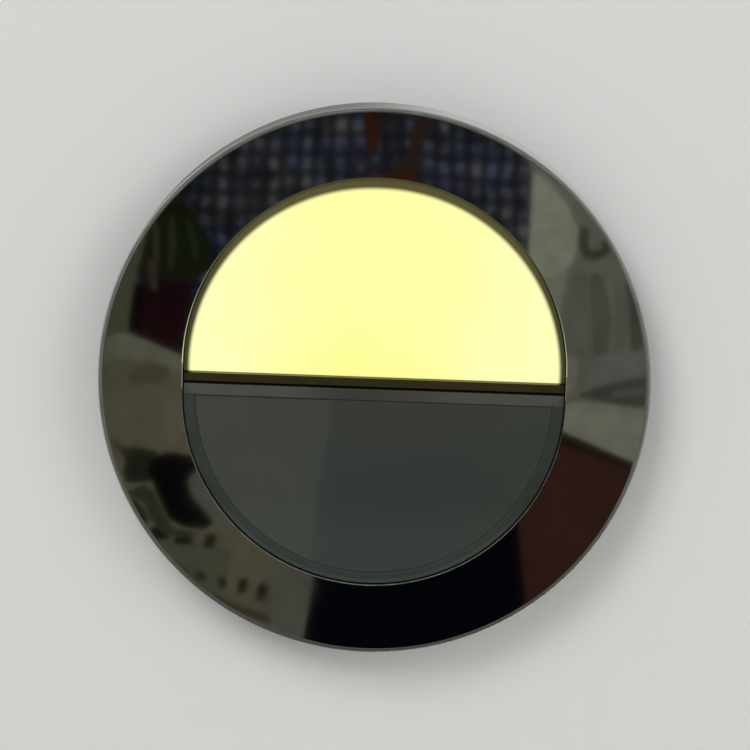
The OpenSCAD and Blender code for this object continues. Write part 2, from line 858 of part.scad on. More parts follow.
// LEDs of one board, in rows that follow the half moon
module leds(upper) {
    on_side(upper)
        for (row = led_rows)
            for (i = [0:row_count(row) - 1])
                translate([(i - (row_count(row) - 1) / 2) * led_pitch, row_y(row), -reflector_depth])
                    led();
}

// One LED: a white body with a shallow round well
module led() {
    difference() {
        translate([-led_size / 2, -led_size / 2, 0]) cube([led_size, led_size, led_h]);
        translate([0, 0, led_h - led_well])
            cylinder(r1 = led_size * 0.34, r2 = led_size * 0.42, h = led_well + 0.1, $fn = 24);
    }
}

module upper_leds() {
    color("lemonchiffon") on_wall() leds(true);
}

module lower_leds() {
    color("lemonchiffon") on_wall() leds(false);
}

module led_board_screws() {
    color("lightgray") on_wall()
        for (upper = [true, false])
            on_side(upper)
                for (a = led_screw_angles)
                    led_screw_place(a)
                        translate([0, 0, led_board_back_z - led_head_h])
                            pan_screw(led_screw_r, led_head_r, led_head_h, led_screw_l + board_t - 0.2);
}

// Pan-head screw: a domed head from z = 0 up, thread above it
module pan_screw(r, head_r, head_h, length) {
    dome_z = 0.25 * head_h + 0.51 * head_r * head_r / head_h;
    dome_r = sqrt(dome_z * dome_z + 0.49 * head_r * head_r);
    difference() {
        union() {
            intersection() {
                cylinder(r = head_r, h = head_h);
                translate([0, 0, dome_z]) sphere(r = dome_r);
            }
            cylinder(r = r, h = head_h + length);
        }
        cross_recess(head_r);
    }
}

// Hexagon standoffs with a stud in the light box's columns
module standoffs() {
    color("goldenrod") on_wall()
        for (a = column_angles)
            around(column_at, a)
                difference() {
                    union() {
                        translate([0, 0, driver_front_z])
                            cylinder(r = standoff_af / 2 / cos(30),
                                     h = -reflector_depth - driver_front_z, $fn = 6);
                        translate([0, 0, -reflector_depth - 1]) cylinder(r = screw_r, h = 7);
                    }
                    translate([0, 0, driver_front_z - 1])
                        cylinder(r = screw_r + thread_gap, h = cover_screw_bite + 2);
                }
}

// Place of a pin strip between an LED board and the driver board
module link_place() {
    translate([0, link_y, 0]) children();
}

// Pin strips that bring current from the driver board to the LED boards
module board_links() {
    color("black") on_wall()
        for (upper = [true, false])
            on_side(upper)
                link_place() {
                    translate([-link_l / 2, -link_w / 2, driver_front_z])
                        cube([link_l, link_w, led_board_back_z - driver_front_z]);
                    for (i = [0:link_pins - 1])
                        translate([(i - (link_pins - 1) / 2) * link_pitch - link_pin_t / 2,
                                   -link_pin_t / 2, driver_front_z])
                            cube([link_pin_t, link_pin_t, led_board_back_z + board_t - driver_front_z]);
                }
}

// Round driver board
module driver_board() {
    color("darkgreen") on_wall() difference() {
        translate([0, 0, driver_back_z]) cylinder(r = driver_board_r, h = board_t);
        for (a = column_angles)
            around(column_at, a)
                translate([0, 0, driver_back_z - 1]) cylinder(r = screw_r + hole_gap, h = board_t + 2);
    }
}

// Electrolytic capacitors on the front of the driver board
module capacitors() {
    color("navy") on_wall()
        for (i = [0, 1])
            translate([cap_inset - driver_board_r + i * cap_pitch, cap_y, driver_front_z]) capacitor();
}

// One can with a rolled groove near its base and a flat top
module capacitor() {
    rotate_extrude()
        difference() {
            square([cap_r, cap_h]);
            translate([cap_r + 0.7, 1.8]) circle(0.9);
            translate([-1, cap_h - 0.25]) square([cap_r - 0.5, 1]);
        }
}

// Drum-core inductor
module inductor() {
    color("darkslategray") on_wall()
        translate([inductor_inset - driver_board_r, cap_y - inductor_drop, driver_front_z])
            rotate_extrude() {
                square([inductor_r, inductor_flange_t]);
                square([inductor_r * 0.85, inductor_h]);
                translate([0, inductor_h - inductor_flange_t]) square([inductor_r, inductor_flange_t]);
            }
}

// Bridge rectifier in a four-pin case
module bridge_rectifier() {
    color("black") on_wall()
        translate([-bridge_l / 2, -bridge_w / 2, driver_front_z]) cube([bridge_l, bridge_w, bridge_h]);
}

// One optocoupler for each lamp input and one for the gong
module optocouplers() {
    color("white") on_wall()
        for (i = [-1, 0, 1])
            translate([i * opto_pitch - opto_l / 2, opto_inset - driver_board_r, driver_front_z])
                cube([opto_l, opto_w, opto_h]);
}

// Control chip with two rows of leads
module control_chip() {
    color("black") on_wall()
        translate([driver_board_r - chip_inset, -chip_drop, driver_front_z]) {
            difference() {
                translate([-chip_w / 2, -chip_l / 2, 0.2]) cube([chip_w, chip_l, chip_h]);
                translate([-chip_w / 4, chip_l / 2 - 1, chip_h]) cylinder(r = 0.4, h = 1, $fn = 24);
            }
            for (i = [0:7])
                for (s = [-1, 1])
                    translate([s * (chip_w / 2 + 0.4) - 0.6, (i - 3.5) * chip_l / 8 - 0.2, 0])
                        cube([1.2, 0.4, 0.6]);
        }
}

// Gong sounder: a round can with a sound port
module gong_sounder() {
    color("black") on_wall()
        translate([sounder_x, sounder_y, driver_front_z])
            difference() {
                rotate_extrude() {
                    square([sounder_r - 0.6, sounder_h]);
                    square([sounder_r, sounder_h - 0.6]);
                    translate([sounder_r - 0.6, sounder_h - 0.6])
                        intersection() {
                            circle(0.6);
                            square(1);
                        }
                }
                translate([0, 0, sounder_h - 2]) cylinder(r = port_r, h = 3, $fn = 32);
            }
}

// Header shroud on the back of the driver board, open to the rear
module terminal_header() {
    color("green") on_wall()
        translate([0, terminal_y, 0])
            difference() {
                translate([-terminal_l / 2, -header_w / 2, header_end_z])
                    cube([terminal_l, header_w, header_h]);
                translate([-terminal_l / 2 + header_wall, -header_w / 2 + header_wall, header_end_z - 1])
                    cube([terminal_l - 2 * header_wall, header_w - 2 * header_wall,
                          header_h - header_wall + 1]);
                for (i = [0:poles - 1])
                    translate([pole_x(i), 0, driver_back_z])
                        cube([pin_t, pin_t, 4 * header_wall], center = true);
            }
}

module header_pins() {
    color("gold") on_wall()
        for (i = [0:poles - 1])
            translate([pole_x(i) - pin_t / 2, terminal_y - pin_t / 2, header_end_z + 1.2])
                cube([pin_t, pin_t, header_h - 1.2]);
}

// Plug: a nose that slides in the header and a body with wire entries
module terminal_plug() {
    color("limegreen") on_wall()
        translate([0, terminal_y, 0])
            difference() {
                union() {
                    translate([-plug_nose_l / 2, -plug_nose_w / 2, plug_shoulder_z - eps])
                        cube([plug_nose_l, plug_nose_w, plug_nose_z - plug_shoulder_z + eps]);
                    translate([-terminal_l / 2, -plug_w / 2, plug_end_z])
                        cube([terminal_l, plug_w, plug_h]);
                }
                for (i = [0:poles - 1])
                    translate([pole_x(i), 0, 0]) plug_pole();
                for (i = [1:poles - 1])
                    for (s = [-1, 1])
                        translate([pole_x(i - 0.5), s * plug_w / 2, plug_end_z])
                            cube([pole_groove, 2 * pole_groove, 2 * plug_h - 3], center = true);
            }
}

// What is cut out for one pole: pin socket, wire entry and screw well
module plug_pole() {
    socket = pin_t + 2 * slide_gap + 0.2;
    translate([-socket / 2, -socket / 2, header_end_z + 0.6])
        cube([socket, socket, header_h]);
    translate([-wire_entry / 2, 1 - plug_w / 2, plug_end_z - 1])
        cube([wire_entry, wire_entry, wire_entry_depth + 1]);
    translate([0, plug_w / 2 - clamp_head_r - 1.1, plug_end_z - 1])
        cylinder(r = clamp_head_r + hole_gap, h = clamp_well + 1, $fn = 32);
}

// Slotted clamp screws in their wells
module clamp_screws() {
    color("silver") on_wall()
        for (i = [0:poles - 1])
            translate([pole_x(i), terminal_y + plug_w / 2 - clamp_head_r - 1.1,
                       plug_end_z + clamp_well - clamp_screw_h])
                difference() {
                    cylinder(r = clamp_head_r, h = clamp_screw_h, $fn = 32);
                    cube([3 * clamp_head_r, 0.6, 1.4], center = true);
                }
}

// DIP switch body with a slot for each lever
module dip_switch() {
    color("firebrick") on_wall()
        difference() {
            translate([dip_x - dip_l / 2, switch_y - dip_d / 2, dip_top_z])
                cube([dip_l, dip_d, dip_h]);
            for (i = [0:levers - 1])
                translate([lever_x(i) - lever_slot / 2, switch_y - lever_run / 2, dip_top_z - 1])
                    cube([lever_slot, lever_run, lever_seat + 1]);
        }
}

// One lever at the lower end of its slot
module dip_lever(i) {
    color("white") on_wall()
        translate([lever_x(i) - lever_w / 2, switch_y - lever_run / 2 + slide_gap, dip_top_z - lever_out])
            cube([lever_w, lever_l, lever_out + lever_seat - slide_gap]);
}

module dip_lever_1() {
    dip_lever(0);
}

module dip_lever_2() {
    dip_lever(1);
}

module dip_lever_3() {
    dip_lever(2);
}

module dip_lever_4() {
    dip_lever(3);
}

// Trimmer body with a round seat for its rotor
module volume_trimmer() {
    color("royalblue") on_wall()
        translate([trimmer_x, switch_y, 0])
            difference() {
                translate([-trimmer_w / 2, -trimmer_w / 2, trimmer_top_z])
                    cube([trimmer_w, trimmer_w, trimmer_h]);
                translate([0, 0, trimmer_top_z - 1])
                    cylinder(r = rotor_r + rotor_fit, h = rotor_depth + 1);
            }
}

// Slotted rotor, flush with the trimmer's top
module trimmer_rotor() {
    color("white") on_wall()
        translate([trimmer_x, switch_y, trimmer_top_z])
            difference() {
                cylinder(r = rotor_r, h = rotor_depth - slide_gap);
                cube([rotor_r * 1.6, 0.7, 1.6], center = true);
            }
}

// Rear cover: plate, locating rim, four posts, vents and windows
module rear_cover() {
    color("dimgray") on_wall()
        difference() {
            union() {
                translate([0, 0, cover_back_z]) cylinder(r = body_r, h = cover_t);
                translate([0, 0, cover_front_z])
                    rotate_extrude()
                        translate([body_in_r - seat_gap - 1.6, -0.5]) square([1.6, cover_rim_h + 0.5]);
                for (a = column_angles)
                    around(column_at, a)
                        translate([0, 0, cover_front_z - 0.5])
                            cylinder(r = post_r, h = post_h + 0.5);
                translate([0, 0, cover_back_z - cover_rib_h])
                    linear_extrude(cover_rib_h + 0.5) cover_ribs_2d();
            }
            for (a = column_angles)
                around(column_at, a) {
                    translate([0, 0, cover_back_z - 1]) cylinder(r = screw_r + hole_gap, h = 30);
                    translate([0, 0, cover_back_z - 1])
                        cylinder(r = screw_head_r + hole_gap, h = 1 + head_sink);
                }
            cover_windows();
            cover_vents();
        }
}

// Windows for the terminal header, the DIP switch and the trimmer
module cover_windows() {
    translate([0, 0, cover_back_z - cover_rib_h - 1])
        linear_extrude(cover_t + cover_rib_h + 2) cover_windows_2d(0);
}

// Outline of the windows, or of what surrounds them by a width
module cover_windows_2d(width) {
    translate([0, terminal_y])
        square([terminal_l + 2 * (seat_gap + width), header_w + 2 * (seat_gap + width)], center = true);
    translate([dip_x, switch_y])
        square([dip_l - 1 + 2 * width, dip_d - 2 + 2 * width], center = true);
    translate([trimmer_x, switch_y]) circle(rotor_r + 1 + width);
}

// Collars round the windows, a ring near the edge and two ribs beside the vents
module cover_ribs_2d() {
    cover_windows_2d(cover_rib_w);
    difference() {
        circle(body_r - cover_rib_w / 2);
        circle(body_r - 1.5 * cover_rib_w);
    }
    for (s = [-1, 1])
        translate([s * (vent_length / 2 + 2 * vent_w + cover_rib_w), 0])
            square([cover_rib_w, (vent_count - 1) * vent_pitch + 2 * vent_w], center = true);
}

// Rows of ventilation slots with round ends, shorter towards the outside
module cover_vents() {
    for (i = [0:vent_count - 1]) {
        y = (i - (vent_count - 1) / 2) * vent_pitch;
        translate([0, y, cover_back_z - 1])
            linear_extrude(cover_t + 2) {
                square([vent_length, vent_w], center = true);
                for (s = [-1, 1]) translate([s * vent_length / 2, 0]) circle(vent_w / 2, $fn = 32);
            }
    }
}

module cover_screws() {
    head_h = 1.8;
    length = driver_front_z - cover_back_z - head_sink + cover_screw_bite;
    color("lightgray") on_wall()
        for (a = column_angles)
            around(column_at, a)
                translate([0, 0, cover_back_z + head_sink - head_h])
                    pan_screw(screw_r, screw_head_r, head_h, length);
}

bezel_ring();
lens_seal();
upper_lens();
lower_lens();
divider_blade();
lens_retainer();
retainer_screws();
locking_screw();
housing();
wall_gasket();
light_box();
upper_led_board();
lower_led_board();
upper_leds();
lower_leds();
led_board_screws();
standoffs();
board_links();
driver_board();
capacitors();
inductor();
bridge_rectifier();
optocouplers();
control_chip();
gong_sounder();
terminal_header();
header_pins();
terminal_plug();
clamp_screws();
dip_switch();
dip_lever_1();
dip_lever_2();
dip_lever_3();
dip_lever_4();
volume_trimmer();
trimmer_rotor();
rear_cover();
cover_screws();
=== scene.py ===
"""Looks of the elevator hall lantern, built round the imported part.

Everything is in metres, in the part's own frame: the wall is the plane y = 0, the lantern faces -Y and
+Z is up. Sizes marked mm are those of the part's drawing: x right, y up the wall, z out of the wall.
"""
import logging
import math
from collections.abc import Iterable, Mapping, Sequence
from dataclasses import dataclass
from enum import Enum
from typing import Any

import bmesh
import bpy
from mathutils import Color, Matrix, Vector


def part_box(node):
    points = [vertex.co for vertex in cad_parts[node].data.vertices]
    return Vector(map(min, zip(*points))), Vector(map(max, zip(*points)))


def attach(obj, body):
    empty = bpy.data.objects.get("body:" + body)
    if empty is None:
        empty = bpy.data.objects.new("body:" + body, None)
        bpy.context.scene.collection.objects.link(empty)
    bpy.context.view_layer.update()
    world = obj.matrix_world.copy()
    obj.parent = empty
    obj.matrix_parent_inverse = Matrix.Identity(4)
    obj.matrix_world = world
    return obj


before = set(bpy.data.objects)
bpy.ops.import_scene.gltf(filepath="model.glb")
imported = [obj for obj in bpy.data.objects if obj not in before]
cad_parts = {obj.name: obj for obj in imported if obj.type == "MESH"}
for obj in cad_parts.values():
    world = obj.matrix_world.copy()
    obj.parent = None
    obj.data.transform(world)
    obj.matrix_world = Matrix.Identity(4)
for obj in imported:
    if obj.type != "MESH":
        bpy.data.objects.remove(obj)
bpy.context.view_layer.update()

LOG = logging.getLogger("hall_lantern")
MM = 0.001
WORLD_FROM_DRAWING = Matrix(((MM, 0, 0, 0), (0, 0, -MM, 0), (0, MM, 0, 0), (0, 0, 0, 1)))
SMOOTH_BELOW = math.radians(38)
CHART_TOP = 255

Colour = tuple[float, float, float]
Point = tuple[float, float, float]
Flat = tuple[float, float]
Sockets = dict[str, Any]


class Slot(Enum):
    """Material slots of the record, listed with the added pieces."""

    BLACK = "black_plastic"
    WHITE = "white_plastic"
    ZINC = "zinc_steel"
    BRASS = "brass"
    LIT_LED = "lit_led"
    UNLIT_LED = "unlit_led"


class Grain(Enum):
    """Surface of a mould: width of the grain in mm and its depth in mm."""

    POLISHED = (0.9, 0.001)
    FINE = (0.22, 0.006)
    SPARK = (0.38, 0.014)
    GLASS_FILLED = (0.3, 0.01)


class Lamp(Enum):
    """State of a lamp."""

    LIT = 1
    DARK = 0


def tone(red: int, green: int, blue: int) -> Colour:
    """Linear colour from the 0 to 255 numbers of a paint chart."""
    return tuple(Color((red / CHART_TOP, green / CHART_TOP, blue / CHART_TOP)).from_srgb_to_scene_linear())


def scaled(colour: Colour, factor: float) -> Colour:
    """The colour, lighter or darker by a factor."""
    return tuple(factor * c for c in colour)


def ring_of(radius: float, sides: int, centre: Flat = (0, 0)) -> list[Flat]:
    """Points of a circle in the drawing's plane."""
    turns = [math.tau * i / sides for i in range(sides)]
    return [(centre[0] + radius * math.cos(turn), centre[1] + radius * math.sin(turn)) for turn in turns]


class Value:
    """A socket of a node tree. Python's operators on it add the nodes of the shader maths."""

    def __init__(self, graph: "Graph", socket: bpy.types.NodeSocket) -> None:
        """Keeps the tree and the socket."""
        self.graph = graph
        self.socket = socket

    def _joined(self, operation: str, first: Any, second: Any) -> "Value":
        """Joins two terms by one node.

        Args:
            operation: Name of the operation, which Math, Vector Math and Mix share.
            first: A Value or a number.
            second: A Value or a number.

        Returns:
            The result: a colour if a term is one, else a vector if a term is one, else a number.
        """
        kinds = {term.socket.type for term in (first, second) if isinstance(term, Value)}
        if "RGBA" in kinds:
            settings = {"data_type": "RGBA", "blend_type": operation}
            return self.graph.get("ShaderNodeMix", settings, {0: 1.0, 6: first, 7: second}, 2)
        kind = "ShaderNodeVectorMath" if "VECTOR" in kinds else "ShaderNodeMath"
        return self.graph.get(kind, {"operation": operation}, {0: first, 1: second})

    def __add__(self, other: "Value | float") -> "Value":
        """Sum."""
        return self._joined("ADD", self, other)

    def __radd__(self, other: "Value | float") -> "Value":
        """Sum, reflected."""
        return self._joined("ADD", other, self)

    def __sub__(self, other: "Value | float") -> "Value":
        """Difference."""
        return self._joined("SUBTRACT", self, other)

    def __rsub__(self, other: "Value | float") -> "Value":
        """Difference, reflected."""
        return self._joined("SUBTRACT", other, self)

    def __mul__(self, other: "Value | float | Sequence[float]") -> "Value":
        """Product."""
        return self._joined("MULTIPLY", self, other)

    def __rmul__(self, other: "Value | float | Sequence[float]") -> "Value":
        """Product, reflected."""
        return self._joined("MULTIPLY", other, self)

    def __truediv__(self, other: "Value | float") -> "Value":
        """Quotient."""
        return self._joined("DIVIDE", self, other)

    def __rtruediv__(self, other: "Value | float") -> "Value":
        """Quotient, reflected."""
        return self._joined("DIVIDE", other, self)

    def maths(self, operation: str, other: "Value | float" = 0.0) -> "Value":
        """Any other operation of the Math node, with this number first."""
        return self.graph.get("ShaderNodeMath", {"operation": operation}, {0: self, 1: other})

    def above(self, limit: "Value | float") -> "Value":
        """1 where this number is above the limit, else 0."""
        return self.maths("GREATER_THAN", limit)

    def below(self, limit: "Value | float") -> "Value":
        """1 where this number is below the limit, else 0."""
        return self.maths("LESS_THAN", limit)

    def size(self) -> "Value":
        """Absolute value."""
        return self.maths("ABSOLUTE")

    def over(self, low: float, high: float) -> "Value":
        """Smooth step from 0 at low to 1 at high."""
        settings = {"interpolation_type": "SMOOTHSTEP", "clamp": True}
        return self.graph.get("ShaderNodeMapRange", settings, {0: self, 1: low, 2: high})

    def part(self, axis: int) -> "Value":
        """One number of a vector, by its index."""
        return self.graph.get("ShaderNodeSeparateXYZ", {}, {0: self}, axis)

    def length(self) -> "Value":
        """Length of a vector."""
        return self.graph.get("ShaderNodeVectorMath", {"operation": "LENGTH"}, {0: self}, 1)

    def dot(self, other: "Value") -> "Value":
        """Dot product of two vectors."""
        return self.graph.get("ShaderNodeVectorMath", {"operation": "DOT_PRODUCT"}, {0: self, 1: other}, 1)


class Graph:
    """Node tree of one finish."""

    def __init__(self, tree: bpy.types.NodeTree) -> None:
        """Empties the tree and keeps it."""
        tree.nodes.clear()
        self.tree = tree

    def add(self, kind: str, settings: Mapping[str, Any], inputs: Mapping[Any, Any]) -> bpy.types.Node:
        """Adds any node.

        Args:
            kind: Type of the node.
            settings: Its properties, such as a Math node's operation, set first.
            inputs: What goes into its sockets, by their names or indices: Values, numbers or colours.

        Returns:
            The node.
        """
        made = self.tree.nodes.new(kind)
        for name, setting in settings.items():
            setattr(made, name, setting)
        for name, given in inputs.items():
            self._feed(made.inputs[name], given)
        return made

    def get(self, kind: str, settings: Mapping[str, Any], inputs: Mapping[Any, Any],
            output: int | str = 0) -> Value:
        """Adds any node and returns one of its outputs."""
        return Value(self, self.add(kind, settings, inputs).outputs[output])

    def _feed(self, socket: bpy.types.NodeSocket, given: Any) -> None:
        """Links a Value to a socket, or sets a number or a colour on it.

        Args:
            socket: The socket.
            given: A Value, a number, or the numbers of a colour or vector.
        """
        if isinstance(given, Value):
            self.tree.links.new(given.socket, socket)
            return
        if socket.type in ("RGBA", "VECTOR"):
            width = 4 if socket.type == "RGBA" else 3
            given = tuple(given) if isinstance(given, Iterable) else (given,) * 3
            given = (given + (1.0,))[:width]
        socket.default_value = given

    def place(self) -> Value:
        """Place on the piece at rest, in metres."""
        return self.get("ShaderNodeTexCoord", {}, {}, "Object")

    def facing(self) -> Value:
        """Direction the surface faces, on the piece at rest."""
        return self.get("ShaderNodeTexCoord", {}, {}, "Normal")

    def vector(self, x: Value | float, y: Value | float, z: Value | float = 0.0) -> Value:
        """A vector from three numbers."""
        return self.get("ShaderNodeCombineXYZ", {}, {0: x, 1: y, 2: z})

    def radius(self) -> Value:
        """Distance from the lantern's axis."""
        return (self.place() * (1.0, 0.0, 1.0)).length()

    def noise(self, grain_mm: float, detail: float = 2.0, roughness: float = 0.5,
              stretch: Point = (1.0, 1.0, 1.0)) -> Value:
        """Noise about 0.5.

        Args:
            grain_mm: Width of its cells.
            detail: Number of its finer layers.
            roughness: Weight of the finer layers.
            stretch: How many times finer it is along each axis.

        Returns:
            The noise.
        """
        where = self.place() * stretch
        given = {"Vector": where, "Scale": 1 / (grain_mm * MM), "Detail": detail, "Roughness": roughness}
        return self.get("ShaderNodeTexNoise", {}, given)

    def specks(self, spacing_mm: float, size: float) -> Value:
        """1 in small round specks, one to each cell of a width in mm, else 0."""
        given = {"Vector": self.place(), "Scale": 1 / (spacing_mm * MM)}
        return 1.0 - self.get("ShaderNodeTexVoronoi", {}, given).over(0.6 * size, size)

    def blend(self, mask: Value | float, first: Value | Colour, second: Value | Colour) -> Value:
        """The first colour where the mask is 0, the second where it is 1."""
        return self.get("ShaderNodeMix", {"data_type": "RGBA"}, {0: mask, 6: first, 7: second}, 2)

    def shades(self, mask: Value | float, colour: Colour, first: float, second: float) -> Value:
        """One colour, scaled by the first factor where the mask is 0 and by the second where it is 1."""
        return self.blend(mask, scaled(colour, first), scaled(colour, second))

    def rounded(self, radius_mm: float) -> Value:
        """Normal that rounds sharp edges by a radius in mm."""
        return self.get("ShaderNodeBevel", {"samples": 4}, {"Radius": radius_mm * MM})

    def edges(self, radius_mm: float) -> Value:
        """Mask of the sharp edges, from the turn of the normal within a radius in mm."""
        flat = self.get("ShaderNodeNewGeometry", {}, {}, "Normal")
        return (1.0 - self.rounded(radius_mm).dot(flat)).over(0.02, 0.3)

    def bump(self, height: Value, depth_mm: float, normal: Value | None = None) -> Value:
        """Normal of a relief from 0 to depth_mm deep, over the mesh's normal or a given one."""
        given = {"Strength": 1.0, "Distance": depth_mm * MM, "Height": height}
        return self.get("ShaderNodeBump", {}, given if normal is None else given | {"Normal": normal})


@dataclass(frozen=True)
class Finish:
    """What a surface is made of and how it was made."""

    name: str

    def surface(self, graph: Graph) -> Sockets:
        """Sockets of the shader.

        Args:
            graph: The tree.

        Returns:
            What goes into each socket, by its name.
        """
        raise NotImplementedError

    def material(self) -> bpy.types.Material:
        """Makes the material, or finds it where it is made already.

        Returns:
            The material.
        """
        known = bpy.data.materials.get(self.name)
        if known is not None and known.get("finished"):
            return known
        made = bpy.data.materials.new(self.name)
        made.use_nodes = True
        made["finished"] = True
        graph = Graph(made.node_tree)
        shader = graph.get("ShaderNodeBsdfPrincipled", {}, self.surface(graph))
        graph.add("ShaderNodeOutputMaterial", {}, {"Surface": self.ended(graph, shader)})
        return made

    def ended(self, graph: Graph, shader: Value) -> Value:
        """The shader that reaches the output."""
        return shader


@dataclass(frozen=True)
class MirrorChrome(Finish):
    """Mirror polish on the outside, turned and plated metal inside. Sizes in metres.

    The zones overlap by the margin, and the least depth keeps the face's normal from vanishing.
    """

    colour: Colour = (0.83, 0.84, 0.85)
    inside: Colour = (0.38, 0.38, 0.37)
    inside_r: float = 0.0571
    face_depth: float = 0.0079
    flat_r: float = 0.0588
    edge_depth: float = 0.0098
    margin: float = 0.0004
    least: float = 1e-6
    polish: float = 0.022
    lathe_roughness: float = 0.36
    lathe_pitch: float = 0.00035

    def turned(self, graph: Graph) -> Value:
        """Normal of the flat face and its rounded rim as they were turned, free of the mesh's facets.

        Args:
            graph: The tree.

        Returns:
            The normal, which inside the ring is the mesh's own.
        """
        place, radius = graph.place(), graph.radius()
        out = (radius - self.flat_r).maths("MAXIMUM", 0.0) / radius
        front = (place.part(1) + self.edge_depth).maths("MINIMUM", -self.least)
        lathe = graph.vector(place.part(0) * out, front, place.part(2) * out)
        settings = {"vector_type": "NORMAL", "convert_from": "OBJECT", "convert_to": "WORLD"}
        true = graph.get("ShaderNodeVectorTransform", settings, {0: lathe})
        mesh = graph.get("ShaderNodeNewGeometry", {}, {}, "Normal")
        ahead = place.part(1).below(2 * self.margin - self.edge_depth)
        return graph.blend(radius.above(self.inside_r + self.margin) * ahead, mesh, true)

    def surface(self, graph: Graph) -> Sockets:
        """Sockets of the shader.

        Args:
            graph: The tree.

        Returns:
            What goes into each socket, by its name.
        """
        radius = graph.radius()
        depth = graph.place().part(1)
        inner = radius.below(self.inside_r) * depth.above(-self.face_depth)
        hairs = graph.noise(1.1, 3, 0.6, (1, 1, 55)).over(0.66, 0.72)
        hairs = hairs.maths("MAXIMUM", graph.noise(1.3, 3, 0.6, (48, 1, 1)).over(0.68, 0.74))
        smudges = graph.noise(14, 5, 0.6).over(0.5, 0.75)
        polish = self.polish + hairs * 0.03 + smudges * 0.012
        turning = (radius * (math.tau / self.lathe_pitch)).maths("SINE")
        sway = graph.noise(30, 0)
        relief = sway * (1 - inner) + turning * inner * 0.12
        return {
            "Base Color": graph.blend(inner, self.colour, self.inside) * (1 - smudges * 0.04),
            "Metallic": 1.0,
            "Roughness": polish * (1 - inner) + inner * self.lathe_roughness,
            "Normal": graph.bump(relief, 0.02, self.turned(graph)),
        }


@dataclass(frozen=True)
class OpalLens(Finish):
    """Opal acrylic with a glossy skin. Sizes in metres.

    The colours are those at the middle, at the sides and deep over the lamps (on the unlit lens a warmer
    band below the chord), that of the moulding itself, and that of the seat round the lit lens or of the
    chord of the unlit one, which is painted light from the lit lens above. A pair of sizes is where a
    change of colour starts and where it is complete, across from the middle or up and down from the chord.
    """

    lamp: Lamp
    centre: Colour
    side: Colour
    deep: Colour
    ground: Colour
    brink: Colour
    face_depth: float = 0.011
    arc_offset: float = 0.00315
    edge_r: float = 0.0412
    lit_r: float = 0.0392
    chord: float = 0.0014
    bevel: float = 0.0022
    pale_across: Flat = (0.012, 0.042)
    deep_across: Flat = (0.004, 0.026)
    deep_up: Flat = (0.004, 0.02)
    ends_across: Flat = (0.03, 0.04)
    glow_across: Flat = (0.006, 0.02)
    bevel_shade_across: Flat = (0.028, 0.036)
    far_up: Flat = (0.024, 0.036)
    skirt: float = 0.004
    seat_w: float = 0.0011
    rim_w: float = 0.0006
    rim_highlight_w: float = 0.0009

    def surface(self, graph: Graph) -> Sockets:
        """Sockets of the shader.

        Args:
            graph: The tree.

        Returns:
            What goes into each socket, by its name.
        """
        where = graph.place()
        across, up = where.part(0).size(), where.part(2).size()
        cloud = graph.noise(16, 3).over(0.3, 0.7)
        pale = (across + cloud * 0.008).over(*self.pale_across)
        rich = (1 - (up + cloud * 0.006).over(*self.deep_up)) * (1 - across.over(*self.deep_across))
        body = graph.blend(rich * 0.85, graph.blend(pale, self.centre, self.side), self.deep)
        back = where.part(1).above(self.skirt - self.face_depth)
        reach = graph.vector(across, up - self.arc_offset).length()
        dust = graph.specks(2.6, 0.05) * 0.25
        sockets = {
            "Roughness": 0.16 + cloud * 0.06 + back * 0.3 + dust * 0.4,
            "Coat Weight": 0.0 if self.lamp is Lamp.LIT else 1.0,
            "Coat Roughness": 0.02,
            "IOR": 1.49,
            "Normal": graph.bump(graph.noise(9, 2), 0.02, graph.rounded(0.25)),
        }
        if self.lamp is Lamp.LIT:
            ends = across.over(*self.ends_across)
            seat = graph.shades(ends, self.brink, 1.0, 0.25)
            edge = graph.shades(ends, self.ground, 1.0, 0.3)
            seated = (reach + (up - across) * 0.01).over(self.lit_r, self.lit_r + self.seat_w)
            rim = reach.over(self.edge_r - self.rim_w, self.edge_r)
            sockets["Emission Color"] = graph.blend(rim, graph.blend(seated, body, seat), edge)
            sockets["Emission Strength"] = 1.0
            sockets["Base Color"] = graph.shades(cloud, self.ground, 1.0, 1.15)
        else:
            arc, chord = reach.above(self.edge_r - self.bevel), up.below(self.chord + self.bevel)
            far = up.over(*self.far_up)
            # Painted highlight along the chord for the light of the lit lens above: darker in the middle,
            # lighter towards the ends. far makes the face lighter towards the bottom.
            glow = chord * (across.over(*self.glow_across) * 0.6 - 0.1) + far * 0.18
            # Painted highlight: a light line along the outer rim of the bevel, towards the bottom.
            line = reach.above(self.edge_r - self.rim_highlight_w) * far
            # Painted highlight and shade on the arc bevel: the rim line is lighter, the rest darker, and
            # darker still at the left and right ends.
            bevel_light_and_shade = arc * (line * 0.4 - 0.12 - across.over(*self.bevel_shade_across) * 0.12)
            # Painted light: the chord band takes a warm tint from the lit lens above. glow and the bevel's
            # painted highlight and shade scale the colour.
            skin = graph.blend(chord * 0.7, body, self.brink) * (1 + glow + bevel_light_and_shade * (1 - chord))
            sockets["Base Color"] = graph.blend(dust, skin, self.ground)
        return sockets


